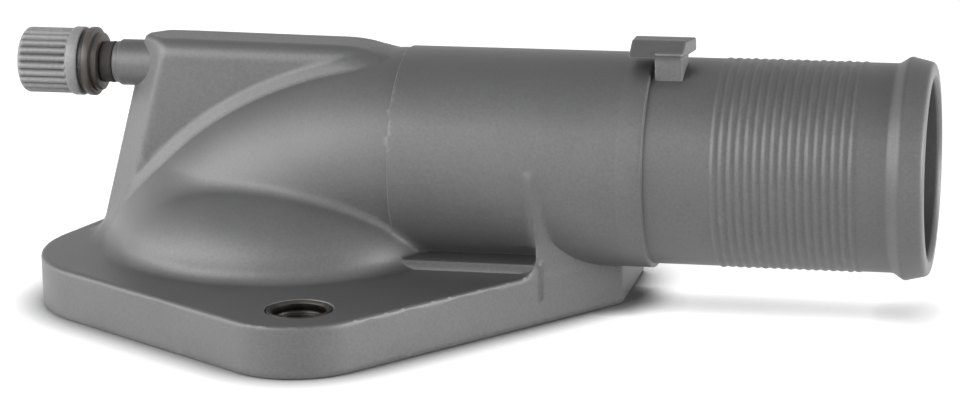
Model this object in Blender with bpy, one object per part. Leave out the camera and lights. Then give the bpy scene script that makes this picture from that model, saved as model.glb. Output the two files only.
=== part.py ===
"""Coolant thermostat housing: a moulded outlet neck on a two-bolt flange, with a knurled bleed screw.

The origin is on the thermostat chamber's axis, in the plane of the flange's underside.
The hose spigot points along +X, and the bolts lie on a line through the origin.
"""

import math

import bmesh
import bpy
from mathutils import Vector

MM = 0.001

# Clearance that touching pieces keep
GAP = 0.3 * MM

# Thermostat chamber and the dome over it
CHAMBER_RADIUS = 23.5 * MM
WALL = 3.0 * MM
DOME_RADIUS = CHAMBER_RADIUS + 3.5 * MM
DOME_RISE = 14.7 * MM
DOME_FILLET = 2.0 * MM

# Seal in the flange's underside, outside the chamber
SEAL_TO_CHAMBER = 4.0 * MM
SEAL_INNER_RADIUS = CHAMBER_RADIUS + SEAL_TO_CHAMBER
SEAL_WIDTH = 3.0 * MM
SEAL_HEIGHT = 2.1 * MM

# Bolt sleeves, pressed into the flange outside the seal
SLEEVE_BORE_RADIUS = 4.1 * MM
SLEEVE_WALL = 0.8 * MM
SLEEVE_RADIUS = SLEEVE_BORE_RADIUS + SLEEVE_WALL
SLEEVE_CHAMFER = 0.3 * MM
SLEEVE_TO_SEAL = 5.6 * MM
BOLT_RADIUS_FROM_AXIS = SEAL_INNER_RADIUS + SEAL_WIDTH + SLEEVE_TO_SEAL + SLEEVE_RADIUS
BOLT_ANGLE = math.radians(-72.3)

# Flange: its ears stand round the bolts
FLANGE_THICKNESS = 8.0 * MM
FLANGE_EDGE = 0.8 * MM
EAR_OFFSET = BOLT_RADIUS_FROM_AXIS - 2.8 * MM
EAR_RADIUS = 12.4 * MM
HEEL_ANGLE = BOLT_ANGLE - math.radians(82.8)
HEEL_OFFSET = 19.8 * MM
HEEL_RADIUS = 19.5 * MM
TOE_X = 54.4 * MM
TOE_FRONT_Y = -2.8 * MM
TOE_BACK_Y = 18.4 * MM
TOE_CORNER = 1.4 * MM

# Outlet pipe: a thick neck, then the hose spigot with its grip ridges and bead
SPIGOT_RADIUS = 16.0 * MM
NECK_RADIUS = SPIGOT_RADIUS + 0.65 * MM
NECK_SINK = 1.75 * MM
PIPE_HEIGHT = FLANGE_THICKNESS + NECK_RADIUS - NECK_SINK
NECK_START = 20.6 * MM
SPIGOT_START = 59.9 * MM
SPIGOT_END = 102.2 * MM
SPIGOT_WALL = 2.3 * MM
SPIGOT_STEP_LENGTH = 0.2 * MM
RIDGE_START = 70.1 * MM
RIDGE_PITCH = 1.3 * MM
RIDGE_HEIGHT = 0.2 * MM
RIDGE_COUNT = 17
BEAD_HEIGHT = 1.3 * MM
BEAD_CREST = 98.6 * MM
BEAD_FLANK = 1.5 * MM
BEAD_SWELL = 0.6

# Elbow between the chamber and the neck
ELBOW_STEP = 0.25 * MM
ELBOW_REACH = 51.5 * MM
ELBOW_SWEEP = 1.25
ELBOW_BASE_HALF_WIDTH = 16.8 * MM
ELBOW_PIVOT_HEIGHT = FLANGE_THICKNESS - 2.0 * MM

# Web over the elbow, hollow to let air rise to the bleed screw
WEB_HALF_WIDTH = 5.7 * MM
WEB_TOP = PIPE_HEIGHT + NECK_RADIUS + 0.85 * MM
WEB_TOP_LEFT = -22.2 * MM
WEB_LEFT_SLOPE = 0.27
WEB_TOP_RIGHT = 8.0 * MM
WEB_EDGE = 2.8 * MM
WEB_FALL = 1.0 * MM

# Toe block that carries the neck at the flange's far end
BLOCK_START = 43.4 * MM
BLOCK_FILLET = 2.5 * MM
BLOCK_INSET = 0.05 * MM
NECK_FILLET = 3.0 * MM

# Lug on the neck's crown, T-shaped as seen from the front
LUG_STEM_START = 60.6 * MM
LUG_STEM_WIDTH = 4.3 * MM
LUG_FRONT = -8.0 * MM
LUG_BACK = -1.0 * MM
LUG_ARM_HEIGHT = PIPE_HEIGHT + SPIGOT_RADIUS + 1.7 * MM
LUG_TOP = LUG_ARM_HEIGHT + 2.1 * MM
LUG_ARM_LEFT = 4.0 * MM
LUG_ARM_RIGHT = 1.2 * MM
LUG_LEAN = 3.5 * MM

# Bleed screw and its boss, on an axis parallel to the pipe
BLEED_HEIGHT = WEB_TOP - 4.5 * MM
BOSS_RADIUS = 3.9 * MM
BOSS_STEP = -26.5 * MM
BOSS_NOSE_RADIUS = 3.4 * MM
BOSS_NOSE = -27.3 * MM
BOSS_EDGE = 0.2 * MM
THREAD_RADIUS = 2.5 * MM
THREAD_DEPTH = 5.5 * MM
THREAD_CLEARANCE = 0.4 * MM
PASSAGE_RADIUS = 1.1 * MM
CAP_RADIUS = 5.2 * MM
CAP_LENGTH = 8.4 * MM
CAP_RIBS = 24
CAP_RIB_DEPTH = 0.45 * MM
CAP_CHAMFER = 0.6 * MM
RING_RADIUS = 5.45 * MM
RING_LENGTH = 1.7 * MM
RING_EDGE = 0.3 * MM
GROOVE_LENGTH = 0.8 * MM
GROOVE_DEPTH = 0.6 * MM
END_RING_LENGTH = 1.2 * MM
COLLAR_RADIUS = 4.6 * MM
COLLAR_LENGTH = 1.0 * MM
BLEED_SEAL_LENGTH = 1.6 * MM
BLEED_SEAL_RADIUS = 3.3 * MM

# Facets round a full turn, and steps along the curves
FINE = 48
COARSE = 28
DOME_STEPS = 9
ELBOW_STEPS = 12
FILLET_STEPS = 5

# Edges sharper than this stay sharp in the shading
SHARP_ANGLE = math.radians(35)


def clear_scene():
    """Removes whatever the opened file holds."""
    for item in list(bpy.data.objects):
        bpy.data.objects.remove(item, do_unlink=True)


def make_material(name, colour, roughness, metallic=0.0):
    """A Principled BSDF with one colour."""
    material = bpy.data.materials.new(name)
    material.use_nodes = True
    shader = material.node_tree.nodes["Principled BSDF"]
    shader.inputs["Base Color"].default_value = (*colour, 1.0)
    shader.inputs["Roughness"].default_value = roughness
    shader.inputs["Metallic"].default_value = metallic
    return material


def add_object(name, bm, material=None):
    """Turns a bmesh into an object whose faces point out."""
    bmesh.ops.recalc_face_normals(bm, faces=bm.faces)
    mesh = bpy.data.meshes.new(name)
    bm.to_mesh(mesh)
    bm.free()
    if material:
        mesh.materials.append(material)
    item = bpy.data.objects.new(name, mesh)
    bpy.context.collection.objects.link(item)
    return item


def hide_tool(item):
    """Marks an object as a tool of the booleans, not a piece."""
    item.hide_render = True
    item.display_type = "WIRE"


def combine(target, tool, operation):
    """Adds an exact Boolean of the tool to the target."""
    hide_tool(tool)
    modifier = target.modifiers.new(tool.name, "BOOLEAN")
    modifier.object = tool
    modifier.operation = operation
    modifier.solver = "EXACT"


def bridge(bm, rings):
    """Skins a list of equal rings of points and caps both ends."""
    rows = [[bm.verts.new(point) for point in ring] for ring in rings]
    count = len(rows[0])
    for first, second in zip(rows, rows[1:]):
        for i in range(count):
            j = (i + 1) % count
            bm.faces.new((first[i], first[j], second[j], second[i]))
    bm.faces.new(list(reversed(rows[0])))
    bm.faces.new(rows[-1])
    uneven = [face for face in bm.faces if len(face.verts) == 4]
    bmesh.ops.triangulate(bm, faces=uneven)


def solid_from_rings(name, rings, material=None):
    """A closed solid through rings of points."""
    bm = bmesh.new()
    bridge(bm, rings)
    return add_object(name, bm, material)


def prism(name, outline, low, high):
    """An outline in the XY plane raised from low to high."""
    rings = [[Vector((x, y, z)) for x, y in outline] for z in (low, high)]
    return solid_from_rings(name, rings)


def slab(name, outline, y_low, y_high):
    """An outline in the XZ plane carried from y_low to y_high."""
    rings = [[Vector((x, y, z)) for x, z in outline] for y in (y_low, y_high)]
    return solid_from_rings(name, rings)


def turned(name, profile, segments, material=None):
    """A profile of (height, radius) pairs turned about Z, from the bottom up."""
    rings = []
    for height, radius in profile:
        ring = []
        for i in range(segments):
            angle = 2 * math.pi * i / segments
            ring.append(Vector((radius * math.cos(angle), radius * math.sin(angle), height)))
        rings.append(ring)
    return solid_from_rings(name, rings, material)


def turned_ring(name, profile, segments, material=None):
    """A closed section of (height, radius) pairs turned about Z into a ring."""
    bm = bmesh.new()
    columns = []
    for i in range(segments):
        angle = 2 * math.pi * i / segments
        column = []
        for height, radius in profile:
            column.append(bm.verts.new((radius * math.cos(angle), radius * math.sin(angle), height)))
        columns.append(column)
    count = len(profile)
    for i in range(segments):
        here = columns[i]
        there = columns[(i + 1) % segments]
        for k in range(count):
            m = (k + 1) % count
            bm.faces.new((here[k], there[k], there[m], here[m]))
    return add_object(name, bm, material)


def lay_along_x(item, x, z):
    """Turns a solid made about Z so that its axis runs along +X at height z."""
    item.location = (x, 0.0, z)
    item.rotation_euler = (0.0, math.pi / 2, 0.0)


def arc(centre, radius, start, end, steps):
    """Points of a circular arc, angles in degrees."""
    points = []
    for i in range(steps + 1):
        angle = math.radians(start + (end - start) * i / steps)
        points.append((centre[0] + radius * math.cos(angle), centre[1] + radius * math.sin(angle)))
    return points


def hull_of_discs(discs, segments):
    """The outline of a band stretched round discs given as (x, y, radius)."""
    points = []
    for x, y, radius in discs:
        points += arc((x, y), radius, 0.0, 360.0 * (segments - 1) / segments, segments - 1)
    points = sorted(set(points))

    def half(ordered):
        chain = []
        for p in ordered:
            while len(chain) > 1:
                (ax, ay), (bx, by) = chain[-2], chain[-1]
                if (bx - ax) * (p[1] - ay) - (by - ay) * (p[0] - ax) > 0:
                    break
                chain.pop()
            chain.append(p)
        return chain[:-1]

    return half(points) + half(list(reversed(points)))


def on_bolt_line(distance):
    """A point of the bolt line, measured from the chamber's axis."""
    return distance * math.cos(BOLT_ANGLE), distance * math.sin(BOLT_ANGLE)


def flange_outline(inset=0.0):
    """Two ears, a round heel and a flat toe, joined by straight sides."""
    discs = []
    for side in (1, -1):
        x, y = on_bolt_line(side * EAR_OFFSET)
        discs.append((x, y, EAR_RADIUS - inset))
    heel_x = HEEL_OFFSET * math.cos(HEEL_ANGLE)
    heel_y = HEEL_OFFSET * math.sin(HEEL_ANGLE)
    discs.append((heel_x, heel_y, HEEL_RADIUS - inset))
    for y in (TOE_FRONT_Y + TOE_CORNER, TOE_BACK_Y - TOE_CORNER):
        discs.append((TOE_X - TOE_CORNER, y, TOE_CORNER - inset))
    return hull_of_discs(discs, FINE)


def make_flange(material):
    """The plate, with its top edge rounded off."""
    rings = [[Vector((x, y, z)) for x, y in flange_outline()] for z in (0.0, FLANGE_THICKNESS)]
    bm = bmesh.new()
    bridge(bm, rings)
    top = [e for e in bm.edges if min(v.co.z for v in e.verts) > FLANGE_THICKNESS / 2]
    bmesh.ops.bevel(bm, geom=top, offset=FLANGE_EDGE, segments=2, profile=0.5, affect="EDGES")
    return add_object("housing_body", bm, material)


def dome_profile(radius, rise, fillet):
    """Quarter ellipse over the flange, flared out at its foot when a fillet is given."""
    profile = []
    if fillet:
        profile.append((FLANGE_THICKNESS / 2, radius + fillet))
        for x, z in arc((radius + fillet, FLANGE_THICKNESS + fillet), fillet, 270, 190, FILLET_STEPS):
            profile.append((z, x))
    for i in range(1 if fillet else 0, DOME_STEPS):
        angle = math.pi / 2 * i / DOME_STEPS
        height = FLANGE_THICKNESS + rise * math.sin(angle)
        if not profile or height > profile[-1][0]:
            profile.append((height, radius * math.cos(angle)))
    return profile


def elbow_reach(angle):
    """Distance from the elbow's pivot to its outer wall, 0 level and a quarter turn upright."""
    upright = PIPE_HEIGHT + NECK_RADIUS - ELBOW_STEP - ELBOW_PIVOT_HEIGHT
    return upright + (ELBOW_REACH - upright) * (1 - math.sin(angle)) ** ELBOW_SWEEP


def elbow_ring(angle, inner, outer, half_width, steps):
    """An oval section in the plane that leans by the angle about the pivot."""
    centre = (inner + outer) / 2
    half = (outer - inner) / 2
    ring = []
    for i in range(steps):
        turn = 2 * math.pi * i / steps
        reach = centre + half * math.cos(turn)
        x = NECK_START - reach * math.cos(angle)
        z = ELBOW_PIVOT_HEIGHT + reach * math.sin(angle)
        ring.append(Vector((x, half_width * math.sin(turn), z)))
    return ring


def elbow_solid(name, neck_radius, bore_wall, base_half_width, limit, tail):
    """Oval sections that lean from level to upright about a pivot under the neck."""
    rings = []
    inner_end = PIPE_HEIGHT - neck_radius - ELBOW_PIVOT_HEIGHT
    for i in range(ELBOW_STEPS):
        angle = math.pi / 2 * i / ELBOW_STEPS
        outer = elbow_reach(angle) - bore_wall
        if limit:
            outer = min(outer, (NECK_START + limit) / math.cos(angle))
        half_width = base_half_width + (neck_radius - base_half_width) * math.sin(angle)
        rings.append(elbow_ring(angle, inner_end, outer, half_width, FINE))
    rings.append(elbow_ring(math.pi / 2, inner_end, inner_end + 2 * neck_radius, neck_radius, FINE))
    rings.append([point + Vector((tail, 0.0, 0.0)) for point in rings[-1]])
    return solid_from_rings(name, rings)


def web_left(z):
    """The web's leaning left edge."""
    return WEB_TOP_LEFT - (WEB_TOP - z) * WEB_LEFT_SLOPE


def make_web():
    """Upright web in the mid-plane, from the flange's heel to the neck's crown."""
    foot = FLANGE_THICKNESS / 2
    neck_crown = PIPE_HEIGHT + NECK_RADIUS
    outline = [
        (web_left(foot), foot),
        (web_left(WEB_TOP), WEB_TOP),
        (WEB_TOP_RIGHT, WEB_TOP),
        (NECK_START + WALL, neck_crown - WEB_FALL / 2),
        (NECK_START + WALL, PIPE_HEIGHT),
        (0.0, foot),
    ]
    web = slab("web", outline, -WEB_HALF_WIDTH, WEB_HALF_WIDTH)
    bm = bmesh.new()
    bm.from_mesh(web.data)
    rim = []
    for edge in bm.edges:
        a, b = edge.verts
        across = abs(a.co.y - b.co.y) > WEB_HALF_WIDTH
        left = max(a.co.x, b.co.x) < WEB_TOP_LEFT + WALL
        crown = min(a.co.z, b.co.z) > PIPE_HEIGHT + WALL
        if not across and (left or crown):
            rim.append(edge)
    bmesh.ops.bevel(bm, geom=rim, offset=WEB_EDGE, segments=3, profile=0.5, affect="EDGES")
    bm.to_mesh(web.data)
    bm.free()
    return web


def make_air_pocket():
    """Hollow of the web, from the elbow's bore up to the bleed passage."""
    half = WEB_HALF_WIDTH - WALL
    top = WEB_TOP - WALL
    low = FLANGE_THICKNESS + 2 * WALL
    outline = [
        (web_left(low) + 2 * WALL, low),
        (web_left(top) + WALL, top),
        (WEB_TOP_RIGHT, top),
        (WEB_TOP_RIGHT, PIPE_HEIGHT),
        (-WEB_TOP_RIGHT, low),
    ]
    return slab("air_pocket", outline, -half, half)


def pipe_profile():
    """Outside of the neck and spigot, as (x from the neck's start, radius)."""
    profile = [(0.0, NECK_RADIUS), (SPIGOT_START - NECK_START, NECK_RADIUS)]
    profile.append((SPIGOT_START - NECK_START + SPIGOT_STEP_LENGTH, SPIGOT_RADIUS))
    for i in range(RIDGE_COUNT):
        x = RIDGE_START - NECK_START + i * RIDGE_PITCH
        profile.append((x, SPIGOT_RADIUS))
        profile.append((x + RIDGE_PITCH / 2, SPIGOT_RADIUS + RIDGE_HEIGHT))
    profile.append((RIDGE_START - NECK_START + RIDGE_COUNT * RIDGE_PITCH, SPIGOT_RADIUS))
    crest = BEAD_CREST - NECK_START
    end = SPIGOT_END - NECK_START
    profile += [
        (crest - BEAD_FLANK, SPIGOT_RADIUS),
        (crest - BEAD_FLANK / 2, SPIGOT_RADIUS + BEAD_SWELL * BEAD_HEIGHT),
        (crest, SPIGOT_RADIUS + BEAD_HEIGHT),
        (crest + BEAD_FLANK / 2, SPIGOT_RADIUS + BEAD_HEIGHT),
        (end - BEAD_FLANK / 2, SPIGOT_RADIUS + BEAD_HEIGHT / 2),
        (end, SPIGOT_RADIUS - BEAD_FLANK / 4),
    ]
    return profile


def make_toe_block():
    """Block under the neck's end, with a concave corner at its foot and the flange's own sides."""
    low = FLANGE_THICKNESS / 2
    foot = BLOCK_START - BLOCK_FILLET
    outline = [(foot, low)]
    outline += arc((foot, FLANGE_THICKNESS + BLOCK_FILLET), BLOCK_FILLET, 270, 360, FILLET_STEPS)
    outline += [(BLOCK_START, PIPE_HEIGHT), (TOE_X + WALL, PIPE_HEIGHT), (TOE_X + WALL, low)]
    block = slab("toe_block", outline, -2 * NECK_RADIUS, NECK_RADIUS - ELBOW_STEP)
    inside = prism("toe_sides", flange_outline(BLOCK_INSET), 0.0, PIPE_HEIGHT + WALL)
    combine(block, inside, "INTERSECT")
    return block


def make_neck_fillet():
    """Concave corner on each side of the neck where it lies on the flange."""
    rise = PIPE_HEIGHT - FLANGE_THICKNESS - NECK_FILLET
    reach = math.sqrt((NECK_RADIUS + NECK_FILLET) ** 2 - rise ** 2)
    lean = math.degrees(math.atan2(rise, reach))
    corner = (reach, FLANGE_THICKNESS + NECK_FILLET)
    right = arc(corner, NECK_FILLET, 270, 180 - lean, FILLET_STEPS)
    low = FLANGE_THICKNESS / 2
    section = [(-reach, low), (reach, low)] + right + [(-y, z) for y, z in reversed(right)]
    rings = []
    for x in (0.0, BLOCK_START + 2 * GAP):
        rings.append([Vector((x, y, z)) for y, z in section])
    return solid_from_rings("neck_fillet", rings)


def make_lug():
    """Stem rising from the spigot, with a wider head that leans back."""
    stem_end = LUG_STEM_START + LUG_STEM_WIDTH
    root = PIPE_HEIGHT + SPIGOT_RADIUS - 2 * WALL
    stem_front = LUG_FRONT + 2 * GAP
    stem_back = LUG_BACK - GAP
    stem = []
    for z in (root, LUG_ARM_HEIGHT + GAP):
        stem.append([
            Vector((LUG_STEM_START, stem_front, z)),
            Vector((stem_end, stem_front, z)),
            Vector((stem_end, stem_back, z)),
            Vector((LUG_STEM_START, stem_back, z)),
        ])
    head = []
    for z, front in ((LUG_ARM_HEIGHT, LUG_FRONT), (LUG_TOP, LUG_FRONT + LUG_LEAN)):
        head.append([
            Vector((LUG_STEM_START - LUG_ARM_LEFT, front, z)),
            Vector((stem_end, front, z)),
            Vector((stem_end + LUG_ARM_RIGHT, LUG_BACK, z)),
            Vector((LUG_STEM_START - LUG_ARM_LEFT, LUG_BACK, z)),
        ])
    lug = solid_from_rings("lug", stem)
    combine(lug, solid_from_rings("lug_head", head), "UNION")
    return lug


def make_boss():
    """Bleed boss with its narrower nose."""
    length = BOSS_STEP - BOSS_NOSE
    root = WEB_TOP_LEFT + 2 * WALL - BOSS_NOSE
    profile = [
        (0.0, BOSS_NOSE_RADIUS - BOSS_EDGE),
        (BOSS_EDGE, BOSS_NOSE_RADIUS),
        (length, BOSS_NOSE_RADIUS),
        (length + BOSS_EDGE, BOSS_RADIUS),
        (root, BOSS_RADIUS),
    ]
    boss = turned("bleed_boss", profile, COARSE)
    lay_along_x(boss, BOSS_NOSE, BLEED_HEIGHT)
    return boss


def make_bleed_bore():
    """Threaded bore's clear diameter, then a cone and the narrow passage to the air pocket."""
    start = -WALL
    seat = THREAD_DEPTH
    profile = [
        (start, THREAD_RADIUS),
        (seat, THREAD_RADIUS),
        (seat + THREAD_RADIUS - PASSAGE_RADIUS, PASSAGE_RADIUS),
        (seat + 2 * WALL, PASSAGE_RADIUS),
    ]
    bore = turned("bleed_bore", profile, COARSE)
    lay_along_x(bore, BOSS_NOSE, BLEED_HEIGHT)
    return bore


def make_housing(material):
    """The one moulded body: outer forms joined, then everything hollow cut out."""
    body = make_flange(material)
    combine(body, turned("dome", dome_profile(DOME_RADIUS, DOME_RISE, DOME_FILLET), FINE), "UNION")
    elbow = elbow_solid("elbow", NECK_RADIUS - ELBOW_STEP, 0.0, ELBOW_BASE_HALF_WIDTH, 0.0, WALL)
    combine(body, elbow, "UNION")
    combine(body, make_web(), "UNION")
    combine(body, make_boss(), "UNION")
    combine(body, make_neck_fillet(), "UNION")
    combine(body, make_toe_block(), "UNION")
    pipe = turned("pipe", pipe_profile(), FINE)
    lay_along_x(pipe, NECK_START, PIPE_HEIGHT)
    combine(body, pipe, "UNION")
    combine(body, make_lug(), "UNION")

    bore_radius = SPIGOT_RADIUS - SPIGOT_WALL
    chamber = dome_profile(CHAMBER_RADIUS, DOME_RISE - WALL, 0.0)
    chamber = [(-FLANGE_THICKNESS, CHAMBER_RADIUS)] + chamber
    combine(body, turned("chamber", chamber, FINE), "DIFFERENCE")
    base_half_width = ELBOW_BASE_HALF_WIDTH - WALL
    reach = CHAMBER_RADIUS - GAP
    bore = elbow_solid("elbow_bore", bore_radius - ELBOW_STEP, WALL, base_half_width, reach, WALL)
    combine(body, bore, "DIFFERENCE")
    length = SPIGOT_END - NECK_START + WALL
    pipe_bore = turned("pipe_bore", [(0.0, bore_radius), (length, bore_radius)], FINE)
    lay_along_x(pipe_bore, NECK_START, PIPE_HEIGHT)
    combine(body, pipe_bore, "DIFFERENCE")
    combine(body, make_air_pocket(), "DIFFERENCE")
    combine(body, make_bleed_bore(), "DIFFERENCE")
    for side, name in ((1, "front"), (-1, "rear")):
        x, y = on_bolt_line(side * BOLT_RADIUS_FROM_AXIS)
        radius = SLEEVE_RADIUS + GAP
        hole = turned("bolt_hole_" + name, [(-WALL, radius), (FLANGE_THICKNESS + WALL, radius)], COARSE)
        hole.location = (x, y, 0.0)
        combine(body, hole, "DIFFERENCE")
    groove = [
        (-WALL, SEAL_INNER_RADIUS - GAP),
        (-WALL, SEAL_INNER_RADIUS + SEAL_WIDTH + GAP),
        (SEAL_HEIGHT + 2 * GAP, SEAL_INNER_RADIUS + SEAL_WIDTH + GAP),
        (SEAL_HEIGHT + 2 * GAP, SEAL_INNER_RADIUS - GAP),
    ]
    combine(body, turned_ring("seal_groove", groove, FINE), "DIFFERENCE")
    return body


def make_bolt_sleeve(name, side, material):
    """Thin metal tube that carries a bolt's load through the flange."""
    section = [
        (0.0, SLEEVE_BORE_RADIUS + SLEEVE_CHAMFER),
        (0.0, SLEEVE_RADIUS),
        (FLANGE_THICKNESS, SLEEVE_RADIUS),
        (FLANGE_THICKNESS, SLEEVE_BORE_RADIUS + SLEEVE_CHAMFER),
        (FLANGE_THICKNESS - SLEEVE_CHAMFER, SLEEVE_BORE_RADIUS),
        (SLEEVE_CHAMFER, SLEEVE_BORE_RADIUS),
    ]
    sleeve = turned_ring(name, section, COARSE, material)
    x, y = on_bolt_line(side * BOLT_RADIUS_FROM_AXIS)
    sleeve.location = (x, y, 0.0)
    return sleeve


def make_flange_seal(material):
    """Moulded rubber ring, drawn flush as when the flange is bolted down."""
    section = [
        (GAP, SEAL_INNER_RADIUS),
        (GAP, SEAL_INNER_RADIUS + SEAL_WIDTH),
        (GAP + SEAL_HEIGHT, SEAL_INNER_RADIUS + SEAL_WIDTH),
        (GAP + SEAL_HEIGHT, SEAL_INNER_RADIUS),
    ]
    return turned_ring("flange_seal", section, FINE, material)


def screw_stations():
    """Places along the bleed screw, from the tip's side to the cap's end, in X."""
    collar = BOSS_NOSE - 2 * GAP - BLEED_SEAL_LENGTH
    ring = collar - COLLAR_LENGTH
    groove = ring - END_RING_LENGTH
    smooth = groove - GROOVE_LENGTH
    cap = smooth - RING_LENGTH
    return collar, ring, groove, smooth, cap


def cap_ring(x, radius, ribbed):
    """One ring of the cap: two points to a rib and two to the groove beside it."""
    points = []
    pattern = (False, False, True, True)
    count = CAP_RIBS * len(pattern)
    for i in range(count):
        angle = 2 * math.pi * i / count
        reach = radius
        if ribbed and not pattern[i % len(pattern)]:
            reach = radius - CAP_RIB_DEPTH
        points.append(Vector((x, reach * math.cos(angle), BLEED_HEIGHT + reach * math.sin(angle))))
    return points


def make_bleed_screw(material, pivot):
    """Knurled cap, two rings, collar and the shank that closes the passage."""
    collar, ring, groove, smooth, cap = screw_stations()
    end = cap - CAP_LENGTH
    shank = THREAD_RADIUS - THREAD_CLEARANCE
    seat = BOSS_NOSE + THREAD_DEPTH
    rings = [
        cap_ring(end, CAP_RADIUS - CAP_CHAMFER, False),
        cap_ring(end + CAP_CHAMFER, CAP_RADIUS, True),
        cap_ring(cap - RING_EDGE, CAP_RADIUS, True),
        cap_ring(cap, RING_RADIUS, False),
        cap_ring(smooth - RING_EDGE, RING_RADIUS, False),
        cap_ring(smooth, RING_RADIUS - GROOVE_DEPTH, False),
        cap_ring(groove, RING_RADIUS - GROOVE_DEPTH, False),
        cap_ring(groove + RING_EDGE, RING_RADIUS, False),
        cap_ring(ring - RING_EDGE, RING_RADIUS, False),
        cap_ring(ring, COLLAR_RADIUS, False),
        cap_ring(collar - RING_EDGE, COLLAR_RADIUS, False),
        cap_ring(collar, COLLAR_RADIUS - RING_EDGE, False),
    ]
    bm = bmesh.new()
    bridge(bm, rings)
    bmesh.ops.translate(bm, verts=bm.verts, vec=-Vector(pivot.location))
    screw = add_object("bleed_screw", bm, material)
    profile = [
        (-RING_EDGE, shank),
        (seat - collar, shank),
        (seat - collar + shank - PASSAGE_RADIUS, PASSAGE_RADIUS),
    ]
    stem = turned("bleed_stem", profile, COARSE)
    stem.rotation_euler = (0.0, math.pi / 2, 0.0)
    stem.location = Vector((collar, 0.0, BLEED_HEIGHT)) - Vector(pivot.location)
    stem.parent = pivot
    combine(screw, stem, "UNION")
    screw.parent = pivot
    return screw


def make_bleed_seal(material):
    """Rubber ring squeezed between the screw's collar and the boss."""
    shank = THREAD_RADIUS - THREAD_CLEARANCE
    section = [
        (0.0, shank + GAP),
        (0.0, BLEED_SEAL_RADIUS),
        (BLEED_SEAL_LENGTH, BLEED_SEAL_RADIUS),
        (BLEED_SEAL_LENGTH, shank + GAP),
    ]
    seal = turned_ring("bleed_seal", section, COARSE, material)
    lay_along_x(seal, BOSS_NOSE - GAP - BLEED_SEAL_LENGTH, BLEED_HEIGHT)
    return seal


def smooth_round_faces():
    """Shades the pieces smooth and keeps their real edges sharp."""
    for item in bpy.data.objects:
        if item.type == "MESH" and not item.hide_render:
            item.data.shade_smooth()
            item.data.set_sharp_from_angle(angle=SHARP_ANGLE)


def main():
    clear_scene()
    nylon = make_material("dark_grey_nylon", (0.085, 0.085, 0.088), 0.55)
    screw_nylon = make_material("screw_nylon", (0.10, 0.10, 0.10), 0.5)
    steel = make_material("plated_steel", (0.45, 0.44, 0.42), 0.35, 1.0)
    rubber = make_material("seal_rubber", (0.02, 0.018, 0.016), 0.7)

    make_housing(nylon)
    make_bolt_sleeve("bolt_sleeve_front", 1, steel)
    make_bolt_sleeve("bolt_sleeve_rear", -1, steel)
    make_flange_seal(rubber)

    pivot = bpy.data.objects.new("bleed_axis", None)
    pivot.location = (BOSS_NOSE, 0.0, BLEED_HEIGHT)
    bpy.context.collection.objects.link(pivot)
    make_bleed_screw(screw_nylon, pivot)
    make_bleed_seal(rubber)
    smooth_round_faces()


main()
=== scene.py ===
"""Moulded coolant thermostat housing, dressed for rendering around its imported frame.

Lengths are in metres. +X runs along the hose spigot, +Z points up out of the engine face.
"""

import math

import bmesh
import bpy
import numpy as np
from bpy.props import FloatProperty, FloatVectorProperty, IntProperty, PointerProperty
from mathutils import Matrix, Vector


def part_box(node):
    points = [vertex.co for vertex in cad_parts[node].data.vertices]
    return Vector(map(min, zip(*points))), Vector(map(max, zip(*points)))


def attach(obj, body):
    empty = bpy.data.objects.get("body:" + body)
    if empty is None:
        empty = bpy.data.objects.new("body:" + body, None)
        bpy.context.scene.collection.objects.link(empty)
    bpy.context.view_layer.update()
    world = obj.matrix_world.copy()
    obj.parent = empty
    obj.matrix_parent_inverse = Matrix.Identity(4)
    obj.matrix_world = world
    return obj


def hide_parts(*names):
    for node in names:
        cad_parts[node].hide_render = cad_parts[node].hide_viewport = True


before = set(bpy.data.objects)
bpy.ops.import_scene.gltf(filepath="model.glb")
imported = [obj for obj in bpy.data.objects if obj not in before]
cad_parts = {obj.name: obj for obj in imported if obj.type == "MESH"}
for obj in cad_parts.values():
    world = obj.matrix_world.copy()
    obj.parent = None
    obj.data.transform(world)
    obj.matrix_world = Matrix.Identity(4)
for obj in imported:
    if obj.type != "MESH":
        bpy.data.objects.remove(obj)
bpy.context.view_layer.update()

bl_info = {
    "name": "Thermostat Housing Dresser",
    "version": (1, 0, 0),
    "blender": (4, 5, 0),
    "location": "3D View > Sidebar > Housing",
    "description": "Builds the moulded housing, its inserts, seals and bleed screw around the packed frame",
    "category": "Object",
}

MM = 0.001
HOUSING_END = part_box("housing_body")[1].x
SCREW_LOW, SCREW_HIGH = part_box("bleed_screw")
SLEEVES = ("bolt_sleeve_front", "bolt_sleeve_rear")

# Places and sizes that the pieces share
PIPE_AXIS_HEIGHT = 22.9 * MM
BLEED_AXIS_HEIGHT = (SCREW_LOW.z + SCREW_HIGH.z) / 2
NECK_START = 20.6 * MM
NECK_BODY_END = 57.0 * MM
LATHE_START = 56.0 * MM
CASTING_WALL = 3.0 * MM
FOOT_LEVEL = 4.0 * MM
WEB_TOP_LEFT = -22.2 * MM
WEB_SLOPE = 0.27
BLOCK_BACK = 16.2 * MM
KNURL_END = -34.35 * MM
STAIN_START = -32.45 * MM
THREAD_START = -29.3 * MM
UPRIGHT = Matrix.Rotation(-math.pi / 2, 4, "Y")

# One grip ridge, as (share of the pitch, share of the height)
RIDGE_SHAPE = ((0.0, 0.0), (0.18, 0.12), (0.34, 0.8), (0.5, 1.0), (0.66, 0.8), (0.82, 0.12))

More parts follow.
